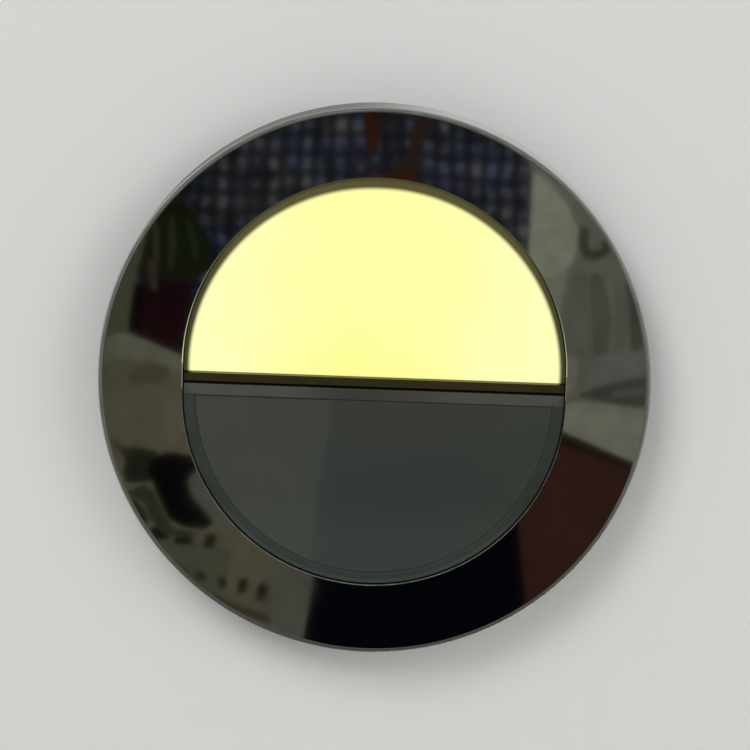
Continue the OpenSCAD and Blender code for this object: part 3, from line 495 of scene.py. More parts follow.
@dataclass(frozen=True)
class Moulded(Finish):
    """Moulded plastic: a grain, slow clouding and paler worn edges."""

    colour: Colour
    grain: Grain = Grain.FINE
    roughness: float = 0.45
    edge_mm: float = 0.25
    wear: float = 0.35

    def surface(self, graph: Graph) -> Sockets:
        """Sockets of the shader.

        Args:
            graph: The tree.

        Returns:
            What goes into each socket, by its name.
        """
        width, depth = self.grain.value
        cloud = graph.noise(11, 4, 0.55).over(0.3, 0.72)
        grain = graph.noise(width, 3, 0.6)
        worn = graph.edges(1.6 * self.edge_mm) * graph.noise(2.5, 4, 0.65).over(0.42, 0.6)
        colour = graph.shades(cloud, self.colour, 0.9, 1.08)
        paler = tuple(0.6 * c + 0.22 for c in self.colour)
        dust = graph.specks(3.1, 0.045) * 0.3
        return {
            "Base Color": graph.blend((worn * self.wear).maths("MAXIMUM", dust), colour, paler),
            "Roughness": self.roughness + (cloud - 0.5) * 0.12 + (grain - 0.5) * 0.15,
            "Normal": graph.bump(grain, depth, graph.rounded(self.edge_mm)),
        }


@dataclass(frozen=True)
class SoftRubber(Finish):
    """Dull black rubber with a bloom."""

    colour: Colour = (0.013, 0.013, 0.014)

    def surface(self, graph: Graph) -> Sockets:
        """Sockets of the shader.

        Args:
            graph: The tree.

        Returns:
            What goes into each socket, by its name.
        """
        bloom = graph.noise(5, 5, 0.65).over(0.4, 0.75)
        return {
            "Base Color": graph.shades(bloom * 0.5, self.colour, 1.0, 3.2),
            "Roughness": 0.66 + bloom * 0.2,
            "Normal": graph.bump(graph.noise(0.25, 3), 0.01, graph.rounded(0.2)),
        }


@dataclass(frozen=True)
class Metal(Finish):
    """Plated or drawn metal with fine turning marks, darker in places, and a painted highlight on its
    edges.
    """

    colour: Colour
    roughness: float = 0.26
    tarnish: Colour = (0.2, 0.19, 0.18)
    marks_mm: float = 0.3

    def surface(self, graph: Graph) -> Sockets:
        """Sockets of the shader.

        Args:
            graph: The tree.

        Returns:
            What goes into each socket, by its name.
        """
        stain = graph.noise(2.2, 4, 0.6).over(0.45, 0.8)
        marks = graph.noise(self.marks_mm, 2, 0.5, (1, 5, 1))
        edge_highlight = graph.edges(0.2)
        colour = graph.blend(stain * 0.4, self.colour, self.tarnish)
        return {
            # Painted highlight: the base colour is lighter along sharp edges.
            "Base Color": graph.blend(edge_highlight * 0.6, colour, scaled(self.colour, 1.12)),
            "Metallic": 1.0,
            "Roughness": self.roughness + stain * 0.14 + (marks - 0.5) * 0.1,
            "Normal": graph.bump(marks, 0.008, graph.rounded(0.12)),
        }


@dataclass(frozen=True)
class PrintedBoard(Finish):
    """Board under a solder mask, with tracks that show through and drilled vias."""

    mask: Colour
    track: Colour
    pitch_mm: float = 2.54
    laminate: Colour = scaled(tone(176, 158, 98), 0.6)

    def tracks(self, graph: Graph, turned: bool) -> Value:
        """Mask of the tracks that run one way.

        Args:
            graph: The tree.
            turned: True for tracks that run up the wall.

        Returns:
            1 on a track, else 0.
        """
        where = graph.place()
        along, across = (2, 0) if turned else (0, 2)
        flat = graph.vector(where.part(along), where.part(across))
        settings = {"offset": 0.37, "offset_frequency": 2, "squash": 1.7, "squash_frequency": 3}
        given = {"Vector": flat, "Scale": 1.0, "Mortar Size": 0.22 * MM, "Mortar Smooth": 0.2,
                 "Brick Width": 4.3 * self.pitch_mm * MM, "Row Height": 0.6 * self.pitch_mm * MM}
        return graph.get("ShaderNodeTexBrick", settings, given, 1)

    def surface(self, graph: Graph) -> Sockets:
        """Sockets of the shader.

        Args:
            graph: The tree.

        Returns:
            What goes into each socket, by its name.
        """
        zone = graph.noise(13, 1).over(0.48, 0.52)
        tracks = self.tracks(graph, False) * zone + self.tracks(graph, True) * (1 - zone)
        vias = graph.specks(3.9, 0.1)
        cloud = graph.noise(8, 3)
        face = graph.facing().part(1).size().above(0.5)
        colour = graph.blend(tracks * face, self.mask, self.track)
        colour = graph.blend(vias * face * 0.8, colour, scaled(self.track, 1.5))
        return {
            "Base Color": graph.blend(face, self.laminate, colour * (0.9 + cloud * 0.2)),
            "Roughness": 0.3 + cloud * 0.12 + (1 - face) * 0.4,
            "Normal": graph.bump(tracks - vias, 0.03),
        }


@dataclass(frozen=True)
class Phosphor(Finish):
    """Yellow phosphor in clear resin."""

    lamp: Lamp
    colour: Colour

    def surface(self, graph: Graph) -> Sockets:
        """Sockets of the shader.

        Args:
            graph: The tree.

        Returns:
            What goes into each socket, by its name.
        """
        grain = graph.noise(0.12, 3)
        body = graph.shades(grain, self.colour, 0.85, 1.0)
        sockets = {"Base Color": body, "Roughness": 0.18 + grain * 0.12, "Coat Weight": 0.7,
                   "Normal": graph.bump(grain, 0.006)}
        if self.lamp is Lamp.LIT:
            sockets["Base Color"] = graph.shades(grain, self.colour, 0.1, 0.2)
            sockets["Emission Color"] = body
            sockets["Emission Strength"] = 1.0
        return sockets


@dataclass(frozen=True)
class Sleeve(Finish):
    """Shrunk sleeve of two capacitors, with a pale stripe down the side of each. Sizes in metres."""

    colour: Colour
    stripe: Colour
    first_x: float = -0.0325
    pitch: float = 0.0095
    can_r: float = 0.004
    stripe_side: float = -0.72

    def surface(self, graph: Graph) -> Sockets:
        """Sockets of the shader.

        Args:
            graph: The tree.

        Returns:
            What goes into each socket, by its name.
        """
        x = graph.place().part(0)
        second = x.above(self.first_x + 0.5 * self.pitch)
        side = (x - self.first_x - second * self.pitch) / self.can_r
        creases_and_shade = graph.noise(1.6, 4, 0.6, (1, 0.3, 1))
        colour = graph.blend(side.below(self.stripe_side), self.colour, self.stripe)
        return {
            # Painted shade and sheen: the colour darkens and lightens with the noise of the creases'
            # relief.
            "Base Color": colour * (0.85 + creases_and_shade * 0.3),
            "Roughness": 0.3 + creases_and_shade * 0.15,
            "Coat Weight": 0.3,
            "Normal": graph.bump(creases_and_shade, 0.03, graph.rounded(0.2)),
        }


@dataclass(frozen=True)
class PlainPaint(Finish):
    """Paint of the wall and the floor: even, with a faint roller texture."""

    colour: Colour
    one_sided: bool = False

    def surface(self, graph: Graph) -> Sockets:
        """Sockets of the shader.

        Args:
            graph: The tree.

        Returns:
            What goes into each socket, by its name.
        """
        roller = graph.noise(3.5, 3)
        cloud = graph.noise(240, 2)
        return {
            "Base Color": graph.shades(cloud, self.colour, 0.985, 1.015),
            "Roughness": 0.85 + roller * 0.1,
            "Normal": graph.bump(roller, 0.03),
        }

    def ended(self, graph: Graph, shader: Value) -> Value:
        """The paint, with nothing on its back where it is one-sided.

        Args:
            graph: The tree.
            shader: The paint.

        Returns:
            The shader that reaches the output.
        """
        if not self.one_sided:
            return shader
        behind = graph.get("ShaderNodeNewGeometry", {}, {}, "Backfacing")
        clear = graph.get("ShaderNodeBsdfTransparent", {}, {})
        return graph.get("ShaderNodeMixShader", {}, {0: behind, 1: shader, 2: clear})


BLACK_PLASTIC = Moulded("black plastic", tone(30, 30, 28), Grain.FINE, 0.4)
# Painted light: the divider is black plastic, coloured olive here for the glow of the lit lens falling on
# it.
BLADE_PLASTIC_PAINTED_GLOW = Moulded("divider plastic with painted glow", tone(46, 40, 14), Grain.POLISHED, 0.35, 0.15, 0.1)
DARK_PLASTIC = Moulded("dark glass-filled plastic", tone(50, 51, 52), Grain.GLASS_FILLED, 0.5)
GREY_PLASTIC = Moulded("grey housing plastic", tone(116, 119, 120), Grain.SPARK, 0.52)
WHITE_PLASTIC = Moulded("white reflector plastic", tone(226, 226, 220), Grain.FINE, 0.4, 0.2, 0.0)
OPTO_PLASTIC = Moulded("white moulding compound", tone(214, 212, 202), Grain.FINE, 0.5, 0.2, 0.1)
LEVER_PLASTIC = Moulded("white lever plastic", tone(232, 231, 224), Grain.POLISHED, 0.32, 0.12, 0.0)
GREEN_PLASTIC = Moulded("green terminal plastic", tone(34, 128, 62), Grain.POLISHED, 0.34, 0.2, 0.3)
RED_PLASTIC = Moulded("red switch plastic", tone(172, 30, 28), Grain.FINE, 0.38, 0.2, 0.25)
BLUE_PLASTIC = Moulded("blue trimmer plastic", tone(32, 84, 168), Grain.FINE, 0.38, 0.2, 0.25)
LED_CASE = Moulded("LED case", tone(235, 234, 226), Grain.POLISHED, 0.35, 0.1, 0.0)
FERRITE = Moulded("ferrite", tone(44, 43, 42), Grain.SPARK, 0.6, 0.2, 0.2)
RUBBER = SoftRubber("black rubber")
CHROME = MirrorChrome("mirror chrome")
ZINC = Metal("zinc-plated steel", tone(196, 198, 202), 0.27)
BRASS = Metal("brass", tone(214, 174, 96), 0.24, tone(120, 84, 40))
SOLDER = Metal("solder", tone(206, 207, 210), 0.2, tone(120, 118, 112), 0.6)
ALUMINIUM = Metal("stamped aluminium", tone(206, 208, 210), 0.3, tone(140, 140, 138))
ENAMELLED_COPPER = Metal("enamelled copper", tone(188, 92, 44), 0.22, tone(120, 46, 20), 0.5)
WHITE_BOARD = PrintedBoard("white board", tone(226, 228, 222), tone(206, 210, 204))
GREEN_BOARD = PrintedBoard("green board", tone(16, 74, 40), tone(44, 118, 62))
LEGEND_INK = Moulded("white legend ink", tone(228, 228, 220), Grain.FINE, 0.55, 0.05, 0.0)
LIT_PHOSPHOR = Phosphor("lit phosphor", Lamp.LIT, tone(255, 240, 176))
DARK_PHOSPHOR = Phosphor("dark phosphor", Lamp.DARK, tone(224, 196, 70))
SLEEVE = Sleeve("capacitor sleeve", tone(26, 34, 62), tone(176, 182, 190))
LIT_OPAL = OpalLens("lit opal acrylic", Lamp.LIT, tone(249, 250, 165), tone(250, 250, 184),
                    tone(249, 248, 146), tone(56, 56, 34), tone(64, 55, 24))
DARK_OPAL = OpalLens("unlit opal acrylic", Lamp.DARK, tone(50, 56, 53), tone(53, 58, 53),
                     tone(55, 54, 51), tone(96, 98, 92), tone(53, 52, 49), deep_across=(0.004, 0.05))


def dress(finish: Finish, *nodes: str) -> None:
    """Gives CAD nodes a finish.

    Args:
        finish: The finish.
        nodes: Names of the nodes.
    """
    for name in nodes:
        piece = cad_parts[name]
        if not piece.material_slots:
            piece.data.materials.append(None)
        for place in piece.material_slots:
            place.material = finish.material()
        LOG.info("%s: %s", name, finish.name)


class Shape:
    """A mesh under construction, in the drawing's mm: x right, y up the wall, z out of the wall."""

    def __init__(self) -> None:
        """Starts an empty mesh."""
        self.mesh = bmesh.new()

    def loft(self, rings: Sequence[Sequence[Point]], looped: bool = False) -> "Shape":
        """Joins rings of equally many points.

        Args:
            rings: The rings, in order.
            looped: True joins the last ring to the first, else both ends are closed by a face.

        Returns:
            The shape.
        """
        rows = [[self.mesh.verts.new(point) for point in ring] for ring in rings]
        pairs = list(zip(rows, rows[1:]))
        if looped:
            pairs.append((rows[-1], rows[0]))
        for low, high in pairs:
            for i in range(len(low)):
                j = (i + 1) % len(low)
                self.mesh.faces.new((low[i], low[j], high[j], high[i]))
        if not looped:
            self.mesh.faces.new(rows[0][::-1])
            self.mesh.faces.new(rows[-1])
        return self

    def turned(self, profile: Sequence[Flat], centre: Flat = (0, 0), sides: int = 24) -> "Shape":
        """Turns a profile of (radius, z) about an axis out of the wall."""
        return self.loft([[(x, y, z) for x, y in ring_of(r, sides, centre)] for r, z in profile])

    def prism(self, outline: Sequence[Flat], low: float, high: float) -> "Shape":
        """A prism on an outline, from z = low to high."""
        return self.loft([[(x, y, z) for x, y in outline] for z in (low, high)])

    def block(self, low: Point, high: Point) -> "Shape":
        """A block between two corners."""
        (x0, y0, z0), (x1, y1, z1) = low, high
        return self.prism([(x0, y0), (x1, y0), (x1, y1), (x0, y1)], z0, z1)

    def frame(self, low: Flat, high: Flat, width: float, z0: float, z1: float) -> "Shape":
        """A rectangular frame.

        Args:
            low: Lower left outer corner.
            high: Upper right outer corner.
            width: Width of its bars.
            z0: Its back.
            z1: Its front.

        Returns:
            The shape.
        """
        def corners(inset: float, z: float) -> list[Point]:
            """Corners of the rectangle, inset."""
            x0, y0, x1, y1 = low[0] + inset, low[1] + inset, high[0] - inset, high[1] - inset
            return [(x0, y0, z), (x1, y0, z), (x1, y1, z), (x0, y1, z)]
        rings = [corners(0, z0), corners(0, z1), corners(width, z1), corners(width, z0)]
        return self.loft(rings, looped=True)

    def tube(self, path: Sequence[Point], radius: float, sides: int = 8) -> "Shape":
        """A round wire.

        Args:
            path: Points that its middle follows.
            radius: Its radius.
            sides: Number of its sides.

        Returns:
            The shape.
        """
        points = [Vector(point) for point in path]
        rings, across = [], Vector((0, 0, 1))
        for i, point in enumerate(points):
            ahead = (points[min(i + 1, len(points) - 1)] - points[max(i - 1, 0)]).normalized()
            side = ahead.cross(across)
            if side.length < 0.1:
                side = ahead.cross(Vector((0, 1, 0)))
            side.normalize()
            up = side.cross(ahead)
            rings.append([tuple(point + radius * (c * side + s * up)) for c, s in ring_of(1, sides)])
        return self.loft(rings)

    def piece(self, name: str, body: str, slot: Slot, finish: Finish,
              bevel_mm: float = 0.0) -> bpy.types.Object:
        """Ends the mesh and makes it a piece of the lantern.

        Args:
            name: Name of the piece.
            body: The body it rides on.
            slot: The record's slot of its finish. Not used.
            finish: Its finish.
            bevel_mm: Width of the bevel on its sharp edges.

        Returns:
            The piece.
        """
        bmesh.ops.recalc_face_normals(self.mesh, faces=self.mesh.faces)
        data = bpy.data.meshes.new(name)
        self.mesh.transform(WORLD_FROM_DRAWING)
        self.mesh.to_mesh(data)
        self.mesh.free()
        data.shade_smooth()
        data.set_sharp_from_angle(angle=SMOOTH_BELOW)
        data.materials.append(finish.material())
        made = bpy.data.objects.new(name, data)
        bpy.context.scene.collection.objects.link(made)
        if bevel_mm:
            rounding = made.modifiers.new("rounding", "BEVEL")
            rounding.width = bevel_mm * MM
            rounding.segments = 2
            rounding.limit_method = "ANGLE"
        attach(made, body)
        LOG.info("%s: %d faces on %s", name, len(data.polygons), body)
        return made


@dataclass
class Bezel:
    """Mirror ring and the screw that locks it."""

    def build(self) -> None:
        """Dresses the ring and its screw."""
        dress(CHROME, "bezel_ring")
        dress(ZINC, "locking_screw")


@dataclass
class LensSet:
    """Lenses, their seal, divider and retainer."""

    def build(self) -> None:
        """Dresses what is seen through the opening and what holds it."""
        dress(LIT_OPAL, "upper_lens")
        dress(DARK_OPAL, "lower_lens")
        dress(BLADE_PLASTIC_PAINTED_GLOW, "divider_blade")
        dress(RUBBER, "lens_seal")
        dress(DARK_PLASTIC, "lens_retainer")
        dress(ZINC, "retainer_screws")


@dataclass
class Housing:
    """Wall flange with its round body, and the gasket behind it."""

    def build(self) -> None:
        """Dresses the housing and its gasket."""
        dress(GREY_PLASTIC, "housing")
        dress(RUBBER, "wall_gasket")


@dataclass
class LightBox:
    """Reflector chambers, LED boards and LEDs. Sizes in mm.

    The dome is a profile of (radius, height), the fillet one of (distance from the LED, height).
    """

    board_z: float = -13.0
    led: float = 3.5
    led_h: float = 1.6
    well: float = 0.4
    dome: tuple[Flat, ...] = (
        (1.16, 0.0), (1.29, 0.22), (1.0, 0.36), (0.7, 0.46), (0.35, 0.52), (0.06, 0.54),
    )
    fillet: tuple[Flat, ...] = ((0.01, 0.01), (0.01, 0.55), (0.35, 0.13), (0.7, 0.01))
    pad_half: float = 1.33
    pitch: float = 10.5
    row_start: float = 9.0
    row_pitch: float = 8.5
    counts: tuple[int, ...] = (5, 4, 2)
    clear: float = 0.01

    def places(self, side: int) -> list[Flat]:
        """Centres of the LEDs of one lens.

        Args:
            side: 1 above the divider, -1 below it.

        Returns:
            The centres.
        """
        return [
            (side * (i - (count - 1) / 2) * self.pitch, side * (self.row_start + row * self.row_pitch))
            for row, count in enumerate(self.counts)
            for i in range(count)
        ]

    def phosphor(self, side: int) -> Shape:
        """Resin domes in the wells of the LEDs.

        Args:
            side: 1 above the divider, -1 below it.

        Returns:
            The domes.
        """
        shape = Shape()
        floor = self.board_z + self.led_h - self.well + self.clear
        for centre in self.places(side):
            shape.turned([(radius, floor + height) for radius, height in self.dome], centre)
        return shape

    def pads(self, side: int) -> Shape:
        """Solder fillets at both ends of each LED.

        Args:
            side: 1 above the divider, -1 below it.

        Returns:
            The fillets.
        """
        shape = Shape()
        for x, y in self.places(side):
            for end in (-1, 1):
                shape.loft([
                    [(x + end * (self.led / 2 + out), y + s * self.pad_half, self.board_z + height)
                     for out, height in self.fillet]
                    for s in (-1, 1)
                ])
        return shape

    def build(self) -> None:
        """Dresses the chambers and boards and makes the resin and solder of the LEDs."""
        dress(WHITE_PLASTIC, "light_box")
        dress(WHITE_BOARD, "upper_led_board", "lower_led_board")
        dress(LED_CASE, "upper_leds", "lower_leds")
        dress(ZINC, "led_board_screws")
        self.phosphor(1).piece("upper_phosphor", "housing", Slot.LIT_LED, LIT_PHOSPHOR)
        self.phosphor(-1).piece("lower_phosphor", "housing", Slot.UNLIT_LED, DARK_PHOSPHOR)
        self.pads(1).piece("upper_led_solder", "housing", Slot.ZINC, SOLDER)
        self.pads(-1).piece("lower_led_solder", "housing", Slot.ZINC, SOLDER)


@dataclass
class DriverBoard:
    """Round board with its electronics. Sizes in mm.

    The can's top is a profile of (radius, height), and a joint's flank is one whose radii are shares of its
    pad's. What is outlined is given by its name and the distance of its outline, and a row of chips by its
    x, its first y, its step and its count.
    """

    front_z: float = -26.8
    back_z: float = -28.4
    clear: float = 0.01
    cap_xs: tuple[float, ...] = (-32.5, -23.0)
    cap_y: float = 4.0
    cap_r: float = 4.0
    cap_h: float = 10.5
    cap_lead: float = 1.75
    cap_sides: int = 40
    top_drop: float = 0.24
    can_top: tuple[Flat, ...] = ((3.44, 0.0), (3.44, 0.08), (3.3, 0.11), (0.05, 0.11))
    petal_r: float = 2.9
    petal_tip: float = 0.2
    petal_step: int = 6
    petal_z: Flat = (0.1, 0.22)
    coil: Flat = (-26.0, -8.0)
    coil_core_r: float = 3.4
    coil_low: float = 1.0
    coil_high: float = 5.5
    coil_lead: float = 1.5
    wire_r: float = 0.19
    turns: int = 11
    turn_sides: int = 26
    flank: tuple[Flat, ...] = (
        (1.0, 0.005), (0.97, 0.05), (0.62, 0.2), (0.42, 0.45), (0.32, 0.8), (0.3, 1.05), (0.22, 1.12),
    )
    pad_r: float = 0.95
    pin_r: float = 0.8
    pole_r: float = 1.15
    link_y: float = 21.75
    link_pitch: float = 2.54
    terminal_y: float = -24.0
    pole_pitch: float = 5.08
    dip: Flat = (-14.0, 21.0)
    dip_row: float = 3.81
    trimmer: Flat = (14.0, 21.0)
    trimmer_pins: tuple[Flat, ...] = ((-2.54, -2.5), (2.54, -2.5), (0.0, 2.5))
    sounder: Flat = (25.0, 10.0)
    sounder_lead: float = 3.8
    case_half: float = 3.2
    rectifier_half: float = 2.54
    rectifier_h: float = 1.7
    opto_y: float = -31.8
    opto_pitch: float = 7.0
    opto_half: float = 1.27
    opto_h: float = 1.8
    wing_half: float = 0.28
    outlined: tuple[tuple[str, float], ...] = (
        ("inductor", 0.5), ("bridge_rectifier", 1.9), ("control_chip", 0.5), ("gong_sounder", 0.5),
    )
    ink_w: float = 0.16
    ink_z: Flat = (0.004, 0.024)
    chip_rows: tuple[tuple[float, float, float, int], ...] = ((18.5, -5.5, -2.4, 5), (-10.5, -16.5, 2.4, 4))
    chip_half: Flat = (1.1, 0.62)
    chip_z: Flat = (0.03, 0.55)
    end_half: Flat = (1.6, 0.64)
    end_z: Flat = (0.01, 0.57)

    def tops(self) -> Shape:
        """Scored aluminium tops of the capacitors, each with four petals.

        Returns:
            The tops.
        """
        shape = Shape()
        y, low = self.cap_y, self.front_z + self.cap_h - self.top_drop
        turns = range(self.petal_step, 90, self.petal_step)
        rays = [(self.petal_tip, 45), *((self.petal_r, turn) for turn in turns)]
        profile = [(radius, low + height) for radius, height in self.can_top]
        for x in self.cap_xs:
            shape.turned(profile, (x, y), self.cap_sides)
            for start in (0, 90, 180, 270):
                petal = [(r, math.radians(start + turn)) for r, turn in rays]
                outline = [(x + r * math.cos(turn), y + r * math.sin(turn)) for r, turn in petal]
                shape.prism(outline, low + self.petal_z[0], low + self.petal_z[1])
        return shape

    def winding(self) -> Shape:
        """Wire wound on the core, from flange to flange.

        Returns:
            The wire.
        """
        steps = self.turn_sides * self.turns
        radius = self.coil_core_r + self.wire_r + self.clear
        low = self.front_z + self.coil_low + self.wire_r + 2 * self.clear
        high = self.front_z + self.coil_high - self.wire_r - 2 * self.clear
        path = [
            (self.coil[0] + radius * math.cos(math.tau * i / self.turn_sides),
             self.coil[1] + radius * math.sin(math.tau * i / self.turn_sides),
             low + (high - low) * i / steps)
            for i in range(steps + 1)
        ]
        return Shape().tube(path, self.wire_r)

    def joints(self, places: Sequence[Point], face_z: float, outward: int) -> Shape:
        """Solder joints: cones with hollow flanks, and the cut ends of the leads.

        Args:
            places: The x and y of each, and the radius of its pad.
            face_z: The board's face.
            outward: 1 on the front of the board, -1 on its back.

        Returns:
            The joints.
        """
        shape = Shape()
        for x, y, radius in places:
            shape.turned([(radius * r, face_z + outward * z) for r, z in self.flank], (x, y), 16)
        return shape

    def back_joints(self) -> Shape:
        """Joints of the parts that stand on the front of the board.

        Returns:
            The joints.
        """
        places = []
        for s in (-1, 1):
            places += [(x + s * self.cap_lead, self.cap_y, self.pad_r) for x in self.cap_xs]
            places.append((self.coil[0] + s * self.coil_lead, self.coil[1], self.pad_r))
            places.append((self.sounder[0], self.sounder[1] + s * self.sounder_lead, self.pad_r))
            places += [(i * self.link_pitch, s * self.link_y, self.pin_r) for i in (-1, 0, 1)]
        return self.joints(places, self.back_z, -1)

    def front_joints(self) -> Shape:
        """Joints of the parts that stand on the back of the board.

        Returns:
            The joints.
        """
        places = [(i * self.pole_pitch, self.terminal_y, self.pole_r) for i in range(-2, 3)]
        places += [(self.dip[0] + (i - 1.5) * self.link_pitch, self.dip[1] + s * self.dip_row, self.pin_r)
                   for i in range(4) for s in (-1, 1)]
        places += [(self.trimmer[0] + dx, self.trimmer[1] + dy, self.pin_r) for dx, dy in self.trimmer_pins]
        return self.joints(places, self.front_z, 1)

    def wing(self, shape: Shape, x: float, y: float, way: int, height: float) -> None:
        """Adds a gull-wing lead.

        Args:
            shape: The shape that takes it.
            x: Its middle.
            y: Where it leaves its case.
            way: 1 where it leads up the wall, -1 where it leads down.
            height: Its top at the case, over the board.
        """
        under = height - 0.22
        section = [(0.0, height), (0.5, height), (0.8, height - 0.3), (1.0, 0.25), (1.6, 0.22),
                   (1.6, 0.01), (0.85, 0.01), (0.6, height - 0.4), (0.45, under), (0.0, under)]
        shape.loft([
            [(x + s * self.wing_half, y + way * out, self.front_z + z) for out, z in section]
            for s in (-1, 1)
        ])

    def leads(self) -> Shape:
        """Leads of the rectifier and the optocouplers.

        Returns:
            The leads.
        """
        shape = Shape()
        for way in (-1, 1):
            for s in (-1, 1):
                self.wing(shape, s * self.rectifier_half, way * self.case_half, way, self.rectifier_h)
                for i in (-1, 0, 1):
                    x = i * self.opto_pitch + s * self.opto_half
                    self.wing(shape, x, self.opto_y + way * self.case_half, way, self.opto_h)
        return shape

    def legend(self) -> Shape:
        """White outlines printed round the parts on the front of the board.

        Returns:
            The outlines.
        """
        shape = Shape()
        low, high = (self.front_z + z for z in self.ink_z)
        for name, out in self.outlined:
            (left, _, bottom), (right, _, top) = (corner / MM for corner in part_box(name))
            shape.frame((left - out, bottom - out), (right + out, top + out), self.ink_w, low, high)
        inner, outer = self.cap_r + 2 * self.ink_w, self.cap_r + 3 * self.ink_w
        for x in self.cap_xs:
            rings = [[(px, py, z) for px, py in ring_of(radius, self.cap_sides, (x, self.cap_y))]
                     for radius, z in ((inner, low), (outer, low), (outer, high), (inner, high))]
            shape.loft(rings, looped=True)
        return shape

    def resistors(self) -> tuple[Shape, Shape]:
        """Chip resistors beside the control chip and the rectifier.

        Returns:
            Their bodies and their ends.
        """
        bodies, ends = Shape(), Shape()
        (half, side), (low, high) = self.chip_half, (self.front_z + z for z in self.chip_z)
        (end, end_side), (end_low, end_high) = self.end_half, (self.front_z + z for z in self.end_z)
        for x, y in [(x, y + step * i) for x, y, step, count in self.chip_rows for i in range(count)]:
            bodies.block((x - half, y - side, low), (x + half, y + side, high))
            for left, right in ((-end, -half - self.clear), (half + self.clear, end)):
                ends.block((x + left, y - end_side, end_low), (x + right, y + end_side, end_high))
        return bodies, ends

    def build(self) -> None:
        """Dresses the board and its parts and makes their leads, joints, winding and outlines."""
        dress(GREEN_BOARD, "driver_board")
        dress(BRASS, "standoffs", "header_pins")
        dress(BLACK_PLASTIC, "board_links", "bridge_rectifier", "control_chip", "gong_sounder")
        dress(SLEEVE, "capacitors")
        dress(FERRITE, "inductor")
        dress(OPTO_PLASTIC, "optocouplers")
        self.tops().piece("capacitor_tops", "housing", Slot.ZINC, ALUMINIUM)
        self.winding().piece("inductor_winding", "housing", Slot.BRASS, ENAMELLED_COPPER)
        self.back_joints().piece("back_solder_joints", "housing", Slot.ZINC, SOLDER)
        self.front_joints().piece("front_solder_joints", "housing", Slot.ZINC, SOLDER)
        self.leads().piece("formed_leads", "housing", Slot.ZINC, SOLDER, 0.04)
        self.legend().piece("board_outlines", "housing", Slot.WHITE, LEGEND_INK)
        bodies, ends = self.resistors()
        bodies.piece("chip_resistors", "housing", Slot.BLACK, BLACK_PLASTIC, 0.05)
        ends.piece("chip_resistor_ends", "housing", Slot.ZINC, SOLDER, 0.08)


@dataclass
class RearEnd:
    """Rear cover, terminals and setting switches. Sizes in mm.

    The cages lie between two depths in the plug, and a plate closes the far end of each.
    """

    poles: int = 5
    pole_pitch: float = 5.08
    entry_y: float = -27.1
    entry: float = 3.2
    plug_end_z: float = -45.6
    cage_z: Flat = (0.9, 5.6)
    cage_wall: float = 0.4
    plate: float = 0.3
    clear: float = 0.02

    def cages(self) -> Shape:
        """Wire clamps that show in the entries of the plug.

        Returns:
            The clamps.
        """
        shape = Shape()
        half = self.entry / 2 - 2 * self.clear
        inside = half - self.cage_wall - self.clear
        near, far = (self.plug_end_z + z for z in self.cage_z)
        y = self.entry_y
        for i in range(self.poles):
            x = (i - (self.poles - 1) / 2) * self.pole_pitch
            shape.frame((x - half, y - half), (x + half, y + half), self.cage_wall, near, far)
            shape.block((x - inside, y - inside, far - self.plate), (x + inside, y + inside, far))
        return shape

    def build(self) -> None:
        """Dresses the rear and makes the wire clamps."""
        dress(DARK_PLASTIC, "rear_cover")
        dress(ZINC, "cover_screws", "clamp_screws")
        dress(GREEN_PLASTIC, "terminal_header", "terminal_plug")
        dress(RED_PLASTIC, "dip_switch")
        dress(LEVER_PLASTIC, *(f"dip_lever_{i}" for i in range(1, 5)))
        dress(BLUE_PLASTIC, "volume_trimmer")
        dress(LEVER_PLASTIC, "trimmer_rotor")
        self.cages().piece("wire_clamps", "plug", Slot.ZINC, ZINC, 0.08)


@dataclass(frozen=True)
class Viewpoint:
    """Camera at the photograph's viewing angle. Metres and degrees."""

    azimuth: float = 1.0
    elevation: float = 9.8
    distance: float = 0.8
    lens: float = 175.0
    roll: float = 1.85
    sensor_mm: float = 36.0
    photo_centre: Flat = (457.85, 485.65)
    photo_mm_per_pixel: float = 1.324

    def back(self) -> Vector:
        """Direction from the lantern to the camera."""
        a, e = math.radians(self.azimuth), math.radians(self.elevation)
        return Vector((math.sin(a) * math.cos(e), -math.cos(a) * math.cos(e), math.sin(e)))

    def eye(self) -> Vector:
        """Place of the camera."""
        return self.distance * self.back()

    def turn(self) -> Matrix:
        """Turn of the camera; its columns are right, up and back."""
        level = (-self.back()).to_track_quat("-Z", "Y").to_matrix()
        return level @ Matrix.Rotation(math.radians(self.roll), 3, "Z")

    def on_face(self, across: float, down: float) -> Flat:
        """Place on the ring's face that the photograph shows at a pixel.

        Args:
            across: The pixel, to the right.
            down: The pixel, downwards.

        Returns:
            The place to the right and upwards, in metres from the ring's centre.
        """
        right = (across - self.photo_centre[0]) * self.photo_mm_per_pixel * MM
        up = (self.photo_centre[1] - down) * self.photo_mm_per_pixel * MM
        seen = self.turn().transposed()
        (a, b), (c, d) = (seen[0][0], seen[0][2]), (seen[1][0], seen[1][2])
        spread = a * d - b * c
        return ((right * d - up * b) / spread, (up * a - right * c) / spread)

    def build(self) -> None:
        """Makes the camera."""
        data = bpy.data.cameras.new("camera")
        data.lens = self.lens
        data.sensor_width = self.sensor_mm
        made = bpy.data.objects.new("camera", data)
        made.matrix_world = Matrix.Translation(self.eye()) @ self.turn().to_4x4()
        bpy.context.scene.collection.objects.link(made)
        bpy.context.scene.camera = made
        LOG.info("camera at %.2f m", self.distance)


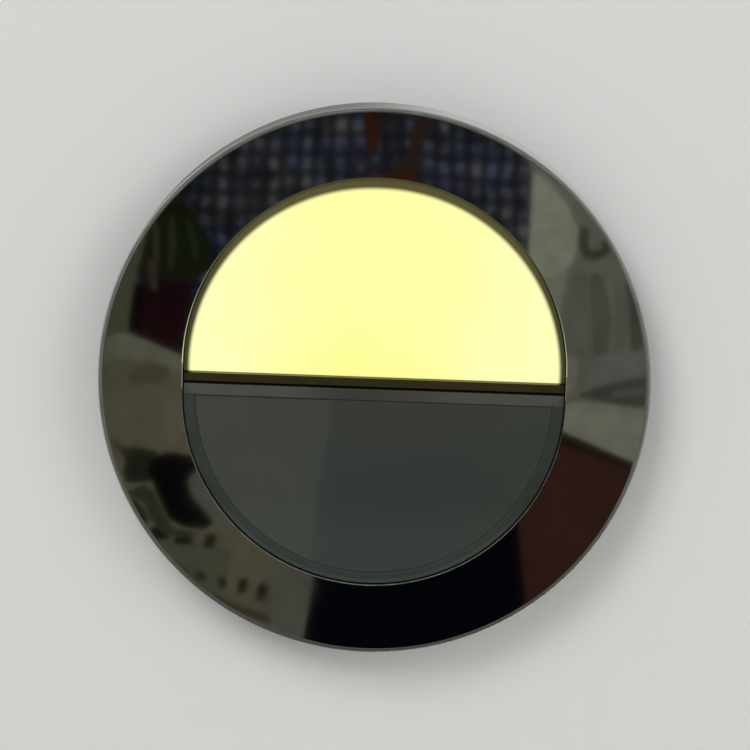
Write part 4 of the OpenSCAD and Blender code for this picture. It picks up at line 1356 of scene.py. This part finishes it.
@dataclass(frozen=True)
class Card:
    """A flat card that only the gloss of the lantern sees.

    Its outline is where the photograph shows it on the mirror ring, in pixels right and down. A corner is
    rounded in steps over a distance in pixels, or over a share of a shorter side.
    """

    name: str
    colour: Colour
    outline: tuple[Flat, ...]
    layer: int = 1
    lattice: bool = False
    corner: float = 0.7
    corner_share: float = 0.45
    corner_steps: int = 4

    def rounded(self) -> list[Flat]:
        """Outline with its corners rounded, so that it mirrors softly.

        Returns:
            Its points, in pixels.
        """
        points = [Vector(point) for point in self.outline]
        curve = []
        for i, point in enumerate(points):
            ways = (points[i - 1] - point, points[(i + 1) % len(points)] - point)
            cuts = (min(self.corner, self.corner_share * way.length) for way in ways)
            start, end = (point + way.normalized() * cut for way, cut in zip(ways, cuts))
            for step in range(self.corner_steps + 1):
                t = step / self.corner_steps
                curve.append(tuple((1 - t) ** 2 * start + 2 * t * (1 - t) * point + t ** 2 * end))
        return curve


MARK_LAYER = 6


def blot(name: str, colour: Colour, centre: Flat, size: Flat, lean: float = 0.3) -> Card:
    """A small leaning mark on the cards.

    Args:
        name: Name of the mark.
        colour: Its colour.
        centre: Its centre, in pixels.
        size: Its width and height, in pixels.
        lean: How far its foot lies to the left of its head, in pixels.

    Returns:
        The card.
    """
    (x, y), (width, height) = centre, (size[0] / 2, size[1] / 2)
    corners = ((x - width + lean, y - height), (x + width + lean, y - height),
               (x + width - lean, y + height), (x - width - lean, y + height))
    return Card(name, colour, corners, MARK_LAYER)


CARDS = (
    Card("warm card", tone(69, 66, 52), ((300, 330), (640, 330), (640, 640), (300, 640)), 0),
    Card("far left strip", tone(52, 53, 39), ((380, 440), (424, 440), (421, 478.6), (413.5, 481),
         (380, 481)), 1),
    Card("lattice card", tone(14, 15, 15), ((417.9, 477.6), (418.9, 469.5), (420.8, 462), (422.5, 457),
         (424, 450), (410, 380), (480, 380), (481.2, 447.6), (483.1, 449.6), (483.7, 453), (483.5, 466),
         (470, 474), (440, 482), (426.5, 481)), 2, True),
    Card("green flag", tone(15, 19, 8), ((420.4, 463.5), (422.4, 457.5), (425.5, 454.8), (428.8, 458),
         (431.8, 463), (430.5, 468.6), (424, 469.8), (419.2, 468.8)), 3, corner=1.5),
    Card("first stem", tone(38, 38, 28), ((422, 459.4), (422.8, 459), (423.2, 463.5), (422.8, 468.2),
         (422, 468)), 4),
    Card("second stem", tone(30, 36, 20), ((424.6, 458.2), (425.4, 458), (425.9, 463), (425.2, 467.4),
         (424.6, 467.2)), 4),
    Card("third stem", tone(26, 31, 18), ((427.3, 458.6), (428.1, 459.2), (429.6, 463.5), (429, 466.6)), 4),
    Card("maroon flag", tone(20, 7, 9), ((417.9, 477.6), (418.9, 470.2), (422.5, 468.8), (428.6, 469.4),
         (426.6, 481)), 5),
    Card("maroon shade", tone(8, 4, 4), ((417.9, 477.6), (418.9, 470.2), (420.8, 469.4), (420, 478.5)), 6),
    Card("pink streak", tone(42, 35, 31), ((421, 465.2), (422.4, 465.6), (423, 470.8), (421.9, 470.9)), 6),
    Card("brown strip", tone(37, 19, 8), ((456.1, 436), (459.1, 436), (459, 446), (458.3, 449),
         (457, 448.8), (456.3, 445)), 4),
    Card("slanted strip", tone(34, 24, 18), ((464.2, 436), (467, 436), (466.6, 445), (464.9, 449.5),
         (464.2, 452), (465.2, 455), (459, 455), (460.4, 451.8), (463, 449.4), (464, 445)), 4),
    Card("brown foot", tone(44, 21, 8), ((458.4, 452), (464.4, 451.6), (465.4, 455), (457.6, 455)), 5),
    Card("grey card", tone(76, 76, 67), ((483.6, 449), (484, 380), (640, 330), (640, 560), (505, 487),
         (496, 487), (487, 489.2), (484, 489.5), (483, 466)), 3),
    Card("pale panel", tone(102, 106, 91), ((484, 451), (486.6, 453), (489.4, 456.8), (491, 460.2),
         (490.7, 464.6), (489.6, 466.8), (486.8, 468.4), (483, 467.8), (483.6, 459)), 5, corner=1.2),
    Card("panel foot", tone(89, 90, 80), ((484, 467), (487, 467.6), (489.4, 466.7), (488.8, 471),
         (487.8, 475), (485.5, 472)), 4, corner=1.5),
    Card("middle fold", tone(71, 71, 63), ((488.4, 470.5), (490.4, 467.6), (492.4, 467.2), (493.4, 474),
         (493.6, 480.5), (490.6, 482), (489, 478)), 4, corner=1.8),
    Card("dark fold", tone(62, 61, 54), ((492.8, 467.2), (495.2, 467.8), (496.4, 474), (496.4, 481),
         (493.8, 481.4), (493.2, 474)), 5, corner=1.6),
    Card("light streak", tone(69, 70, 62), ((496.4, 467.4), (498, 468.4), (499.1, 474), (499.1, 480.4),
         (497.4, 480.6), (497.3, 474)), 5, corner=1.2),
    Card("rim shade", tone(54, 54, 47), ((498.4, 468), (500.6, 470), (502.2, 480), (499.9, 481),
         (499.5, 474)), 6, corner=1.2),
    Card("grey blot", tone(79, 77, 73), ((493.4, 482.8), (497, 481), (501, 481.6), (501.4, 485),
         (495.6, 486.2), (492.6, 486.2)), 5, corner=1.6),
    Card("pink sliver", tone(91, 86, 80), ((488.4, 482.2), (490.4, 480.8), (491.6, 483.8), (490.6, 486.6),
         (487.4, 489.2)), 5, corner=1),
    Card("curved mark", tone(43, 43, 37), ((491.3, 459.6), (492.8, 460.4), (492.6, 463.2), (493.5, 464.1),
         (495, 463.4), (494.7, 462), (495.9, 462.6), (496.4, 464), (494.2, 465.5), (492.3, 465.5),
         (491.1, 463.6)), 7),
    Card("dark wedge", tone(48, 50, 43), ((491, 487.7), (496, 486.2), (501, 485), (520, 484.4), (520, 490),
         (501, 489.8), (496.6, 489)), 6, corner=1),
    Card("wedge streak", tone(65, 66, 58), ((496.8, 487.5), (501, 486.7), (504, 486.6), (504, 487.9),
         (497.4, 488.2)), 7),
    Card("pale wedge", tone(93, 92, 81), ((487.6, 489.6), (491.6, 488.6), (496.6, 489.2), (501.4, 490),
         (560, 491), (560, 528), (500, 498.9), (487.9, 493.8), (485.5, 491.5)), 5, corner=1),
    Card("maroon card", tone(42, 24, 20), ((484, 492), (487.8, 493.3), (500.2, 498.3), (560, 523),
         (560, 640), (482.8, 640), (482.9, 521.8), (482.2, 514.7), (481.7, 508.5), (478, 500)), 6,
         corner=0.3),
    Card("maroon edge", tone(22, 13, 9), ((487, 493.1), (500.4, 498.4), (500.3, 499.8), (487, 495.6)), 8,
         corner=0.2),
    Card("black card", tone(3, 4, 7), ((448.4, 515.4), (446, 528.4), (430, 640), (482.8, 640),
         (482.9, 521.8), (482.2, 514.7), (481.7, 508.5), (478, 496), (452, 500)), 7, corner=0.3),
    Card("pale edge", tone(70, 68, 62), ((447.5, 515.2), (448.5, 515.6), (446, 529), (444.7, 529)), 4,
         corner=0.3),
    Card("grey part", tone(66, 65, 57), ((440.5, 511.5), (447.8, 515.8), (445.1, 530), (438.4, 526.5)), 3,
         corner=1.5),
    Card("light band", tone(75, 75, 63), ((413, 478.6), (417.6, 477.6), (424.5, 480.2), (427.4, 481.6),
         (426.5, 483.4), (422, 482), (417.2, 481.6), (413.4, 482.4)), 2, corner=1.2),
    Card("olive part", tone(58, 56, 42), ((418, 483.6), (421, 482), (424.6, 482.6), (424.4, 485.2),
         (421, 485.4), (418, 486)), 3, corner=1.6),
    Card("pink part", tone(73, 68, 56), ((416, 487), (421, 485.6), (425.6, 486.4), (427.4, 490),
         (425.5, 496.5), (419.5, 495), (416.2, 491.8)), 2, corner=1.8),
    Card("outer shade", tone(62, 65, 52), ((411.5, 480.5), (416.4, 481.6), (415.4, 486), (414.9, 494),
         (412.5, 493)), 1, corner=1.5),
    Card("dark corner", tone(22, 22, 16), ((414.6, 494), (417.2, 496), (418.4, 495.7), (422.4, 496.5),
         (421.6, 501.6), (417.4, 501.8), (416.7, 499.4), (417.4, 498)), 5),
    Card("black flag", tone(4, 4, 5), ((420.8, 499.6), (422, 497.4), (424.2, 496.7), (428.9, 497.9),
         (429.3, 499.2), (427.2, 501.5), (427.8, 504), (431.4, 508.4), (430, 509.6), (427, 509.3),
         (424.4, 508), (422.2, 503)), 7),
    Card("pale line", tone(65, 67, 61), ((427.2, 501.2), (428.6, 500.8), (430.6, 504.8), (433.2, 508.2),
         (431.8, 509.2), (429.2, 505.4)), 6),
    Card("pale strip", tone(35, 37, 30), ((417.2, 503.2), (420.4, 501.9), (422.1, 503.3), (423.7, 507.2),
         (425, 509.3), (428.4, 510.2), (428.2, 511.3), (423.6, 510.4), (421.2, 507.4), (420.4, 505),
         (418.6, 504.2)), 8),
    Card("olive run", tone(27, 29, 20), ((416.8, 503.9), (419.2, 504.6), (420.4, 506.2), (421.4, 508),
         (420.2, 508.8), (417.4, 506.4)), 9),
    Card("lower shade", tone(59, 59, 47), ((414, 507), (421, 509.2), (428, 511.4), (434.5, 513.5),
         (433, 520), (430, 526), (414, 516)), 1, corner=1.5),
    blot("first dash", tone(13, 13, 7), (422.9, 510.2), (2.6, 2.2), -0.4),
    blot("second dash", tone(13, 13, 7), (426.6, 511.6), (2.8, 1.3), -0.2),
    blot("third dash", tone(24, 20, 16), (430.7, 511.6), (1.8, 2.4)),
    blot("faint mark", tone(52, 48, 34), (426.8, 516.4), (1.2, 1.4), -0.2),
    blot("first mark", tone(28, 27, 19), (429.2, 517.7), (1.7, 1.6), -0.2),
    blot("second mark", tone(29, 25, 17), (432.6, 518.8), (1.4, 2), 0),
    blot("third mark", tone(21, 16, 9), (435.9, 519.3), (1.6, 2.6)),
    blot("fourth mark", tone(18, 14, 6), (439.1, 520.3), (1.8, 3)),
    Card("thin line", tone(39, 35, 25), ((431.2, 520.7), (435, 522.5), (439.8, 524), (440.8, 525.4),
         (435, 524), (431, 521.8)), 6, corner=0.4),
    Card("lens card", (0.265, 0.232, 0.192), ((428.2, 486), (451.4, 486), (450.4, 494), (448.8, 503),
         (447.6, 512), (447.2, 515.8), (440.6, 512.4), (434.9, 507.1), (430, 498.5), (428.2, 490)), 1,
         corner=0.3),
)


@dataclass(frozen=True)
class SoftLamp:
    """A square lamp that shines at the lantern. In metres and watts."""

    name: str
    place: Point
    side: float
    watts: float

    def build(self) -> None:
        """Makes the lamp."""
        data = bpy.data.lights.new(self.name, "AREA")
        data.shape = "SQUARE"
        data.size = self.side
        data.energy = self.watts
        made = bpy.data.objects.new(self.name, data)
        made.location = self.place
        made.rotation_euler = (-Vector(self.place)).to_track_quat("-Z", "Y").to_euler()
        made.visible_glossy = False
        bpy.context.scene.collection.objects.link(made)
        LOG.info("lamp: %s, %.1f W", self.name, self.watts)


LAMPS = (
    SoftLamp("key_lamp", (-0.7, -1.3, 1.2), 0.9, 17.0),
    SoftLamp("fill_lamp", (1.3, -1.2, 0.5), 1.0, 7.0),
    SoftLamp("rear_lamp", (0.8, 1.3, 1.0), 0.9, 15.0),
    SoftLamp("rear_fill_lamp", (-1.2, 1.2, 0.2), 0.9, 7.0),
)


@dataclass
class Studio:
    """Wall, floor, soft light and the cards that the chrome mirrors. In metres."""

    viewpoint: Viewpoint
    wall_colour: Colour = (0.63, 0.635, 0.62)
    floor_colour: Colour = (0.86, 0.865, 0.85)
    sky_colour: Colour = (0.60, 0.605, 0.59)
    light_colour: Colour = (1.0, 1.0, 0.99)
    light_level: float = 0.58
    room: tuple[Colour, Colour] = ((0.05, 0.052, 0.037), (0.62, 0.63, 0.6))
    panels: tuple[Colour, Colour] = ((0.0, 0.0, 0.0), (1.0, 0.99, 0.97))
    hole_r: float = 0.0585
    hole_sides: int = 64
    wall_half: float = 3.0
    floor_half: float = 6.0
    floor_z: float = -0.9
    card_y: float = -2.0
    card_gap: float = 0.002
    card_level: float = 1.22
    card_mottle: Flat = (0.8, 1.2)
    lattice_pitch: Flat = (0.0128, 0.015)
    lattice_wander: float = 0.008
    lattice_dim: Flat = (-0.21, -0.09)
    face_y: float = -0.011

    def mirrored(self, across: float, down: float, layer: int) -> Point:
        """Place on a card's plane that the camera sees in the ring's flat face at a pixel.

        Args:
            across: Pixel of the photograph, to the right.
            down: Pixel of the photograph, downwards.
            layer: Number of the card's layer, higher in front.

        Returns:
            The place, in metres.
        """
        plane = self.card_y + self.card_gap * layer
        x, z = self.viewpoint.on_face(across, down)
        eye = self.viewpoint.eye()
        reach = (self.face_y - plane) / (self.face_y - eye.y)
        return (x + reach * (x - eye.x), plane, z + reach * (z - eye.z))

    @staticmethod
    def staged(name: str, corners: Sequence[Sequence[Point]],
               material: bpy.types.Material) -> bpy.types.Object:
        """Makes a flat thing of the studio.

        Args:
            name: Its name.
            corners: The corners of each of its faces.
            material: Its material.

        Returns:
            The thing.
        """
        data = bpy.data.meshes.new(name)
        points = [point for face in corners for point in face]
        starts = [sum(len(face) for face in corners[:i]) for i in range(len(corners))]
        faces = [list(range(start, start + len(face))) for start, face in zip(starts, corners)]
        data.from_pydata(points, [], faces)
        data.materials.append(material)
        made = bpy.data.objects.new(name, data)
        bpy.context.scene.collection.objects.link(made)
        LOG.info("stage: %s", name)
        return made

    def lattice(self, graph: Graph, ground: Colour) -> Value:
        """Rows of pale patches on a dark ground, dimmer to the left.

        Args:
            graph: The tree.
            ground: Colour of the ground.

        Returns:
            The colour.
        """
        where = graph.place()
        wander = graph.noise(40, 1) * self.lattice_wander
        across, up = (((where.part(axis) + wander) * (math.tau / pitch)).maths("SINE") * 0.5 + 0.5
                      for axis, pitch in zip((0, 2), self.lattice_pitch))
        patches = graph.noise(19, 2, 0.6, (1, 1, 0.8)).over(0.38, 0.6)
        columns, rows = across.over(0.1, 0.8) * 0.8 + 0.2, up.over(0.1, 0.7) * 0.7 + 0.3
        spots = columns * rows * (0.2 + patches * 0.8)
        field = graph.blend(graph.noise(30, 2).over(0.44, 0.56), ground, tone(15, 15, 23))
        bar = graph.blend(graph.noise(26, 1).over(0.45, 0.55), tone(67, 66, 68), tone(53, 58, 70))
        return graph.blend(spots, field, bar) * (where.part(0).over(*self.lattice_dim) * 0.4 + 0.6)

    def card_material(self, card: Card) -> bpy.types.Material:
        """Glow of a card, a little mottled.

        Args:
            card: The card.

        Returns:
            Its material.
        """
        made = bpy.data.materials.new(card.name)
        made.use_nodes = True
        made.cycles.emission_sampling = "NONE"
        graph = Graph(made.node_tree)
        if card.lattice:
            colour = self.lattice(graph, card.colour)
        else:
            broad, fine = graph.noise(60, 3, 0.6).over(0.2, 0.8), graph.noise(13, 3, 0.6).over(0.3, 0.7)
            mottle = broad * 0.55 + fine * 0.45
            colour = graph.shades(mottle, card.colour, *self.card_mottle)
        glow = graph.get("ShaderNodeEmission", {}, {"Color": colour, "Strength": self.card_level})
        graph.add("ShaderNodeOutputMaterial", {}, {"Surface": glow})
        return made

    def cards(self) -> None:
        """Hangs the cards in front of the lantern, for gloss alone."""
        for card in CARDS:
            corners = [self.mirrored(x, y, card.layer) for x, y in card.rounded()]
            made = self.staged(card.name.replace(" ", "_"), [corners], self.card_material(card))
            for rays in ("camera", "diffuse", "shadow", "transmission"):
                setattr(made, f"visible_{rays}", False)

    def wall(self) -> None:
        """Wall with a round hole for the housing, and the floor."""
        inner = ring_of(self.hole_r, self.hole_sides)
        outer = [(self.wall_half * x / max(abs(x), abs(z)), self.wall_half * z / max(abs(x), abs(z)))
                 for x, z in inner]
        faces = []
        for i in range(self.hole_sides):
            j = (i + 1) % self.hole_sides
            faces.append([(x, 0.0, z) for x, z in (inner[i], outer[i], outer[j], inner[j])])
        wall = self.staged("wall", faces, PlainPaint("wall paint", self.wall_colour, True).material())
        wall.visible_glossy = False
        half, z = self.floor_half, self.floor_z
        corners = [(-half, -half, z), (half, -half, z), (half, half, z), (-half, half, z)]
        floor = self.staged("floor", [corners], PlainPaint("floor paint", self.floor_colour).material())
        floor.visible_glossy = False

    def surroundings(self, graph: Graph) -> Value:
        """What gloss sees round the studio: a dim room in front, its bays to the sides, and panels behind.

        Args:
            graph: The tree.

        Returns:
            The colour.
        """
        direction = graph.get("ShaderNodeTexCoord", {}, {}, "Generated")
        depth, height = direction.part(1), direction.part(2)
        turn = direction.part(0).maths("ARCTAN2", depth)
        panels = ((turn * 5.0).maths("SINE") * 0.5 + 0.5).over(0.35, 0.65)
        panels = panels * (1 - height.size().over(0.5, 0.8))
        behind = graph.blend(0.12 + height.over(-0.6, 0.9) * 0.2 + panels * 0.28, *self.panels)
        spots = {"Vector": direction * (1.0, 1.0, 0.45), "Scale": 19.0, "Detail": 4.0}
        bays = graph.get("ShaderNodeTexNoise", {}, spots).over(0.44, 0.57) * 0.8 + 0.2
        beside = (depth + 1).over(0.03, 0.15) * bays * height.over(-1.2, 0.2)
        return graph.blend((depth * -1).over(-0.5, 0.3), behind, graph.blend(beside * 0.3, *self.room))

    def world(self) -> None:
        """Pale surroundings: one colour for the camera, an even light, and something for gloss to show."""
        made = bpy.data.worlds.new("studio")
        made.use_nodes = True
        bpy.context.scene.world = made
        graph = Graph(made.node_tree)
        camera, glossy = (graph.get("ShaderNodeLightPath", {}, {}, output)
                          for output in ("Is Camera Ray", "Is Glossy Ray"))
        glows = ((self.sky_colour, 1.0), (self.light_colour, self.light_level),
                 (self.surroundings(graph), 1.0))
        seen, soft, gloss = (graph.get("ShaderNodeBackground", {}, {"Color": colour, "Strength": level})
                             for colour, level in glows)
        lit = graph.get("ShaderNodeMixShader", {}, {0: glossy, 1: soft, 2: gloss})
        mixed = graph.get("ShaderNodeMixShader", {}, {0: camera, 1: lit, 2: seen})
        graph.add("ShaderNodeOutputWorld", {}, {"Surface": mixed})

    def build(self) -> None:
        """Sets up the studio."""
        self.wall()
        self.world()
        self.cards()
        for lamp in LAMPS:
            lamp.build()


def main() -> None:
    """Builds the lantern's looks in order."""
    logging.basicConfig(level=logging.INFO, format="%(name)s: %(message)s")
    bpy.context.scene.view_settings.view_transform = "Standard"
    viewpoint = Viewpoint()
    lantern = (Bezel(), LensSet(), Housing(), LightBox(), DriverBoard(), RearEnd())
    for assembly in (viewpoint, *lantern, Studio(viewpoint)):
        assembly.build()


if __name__ == "__main__":
    main()
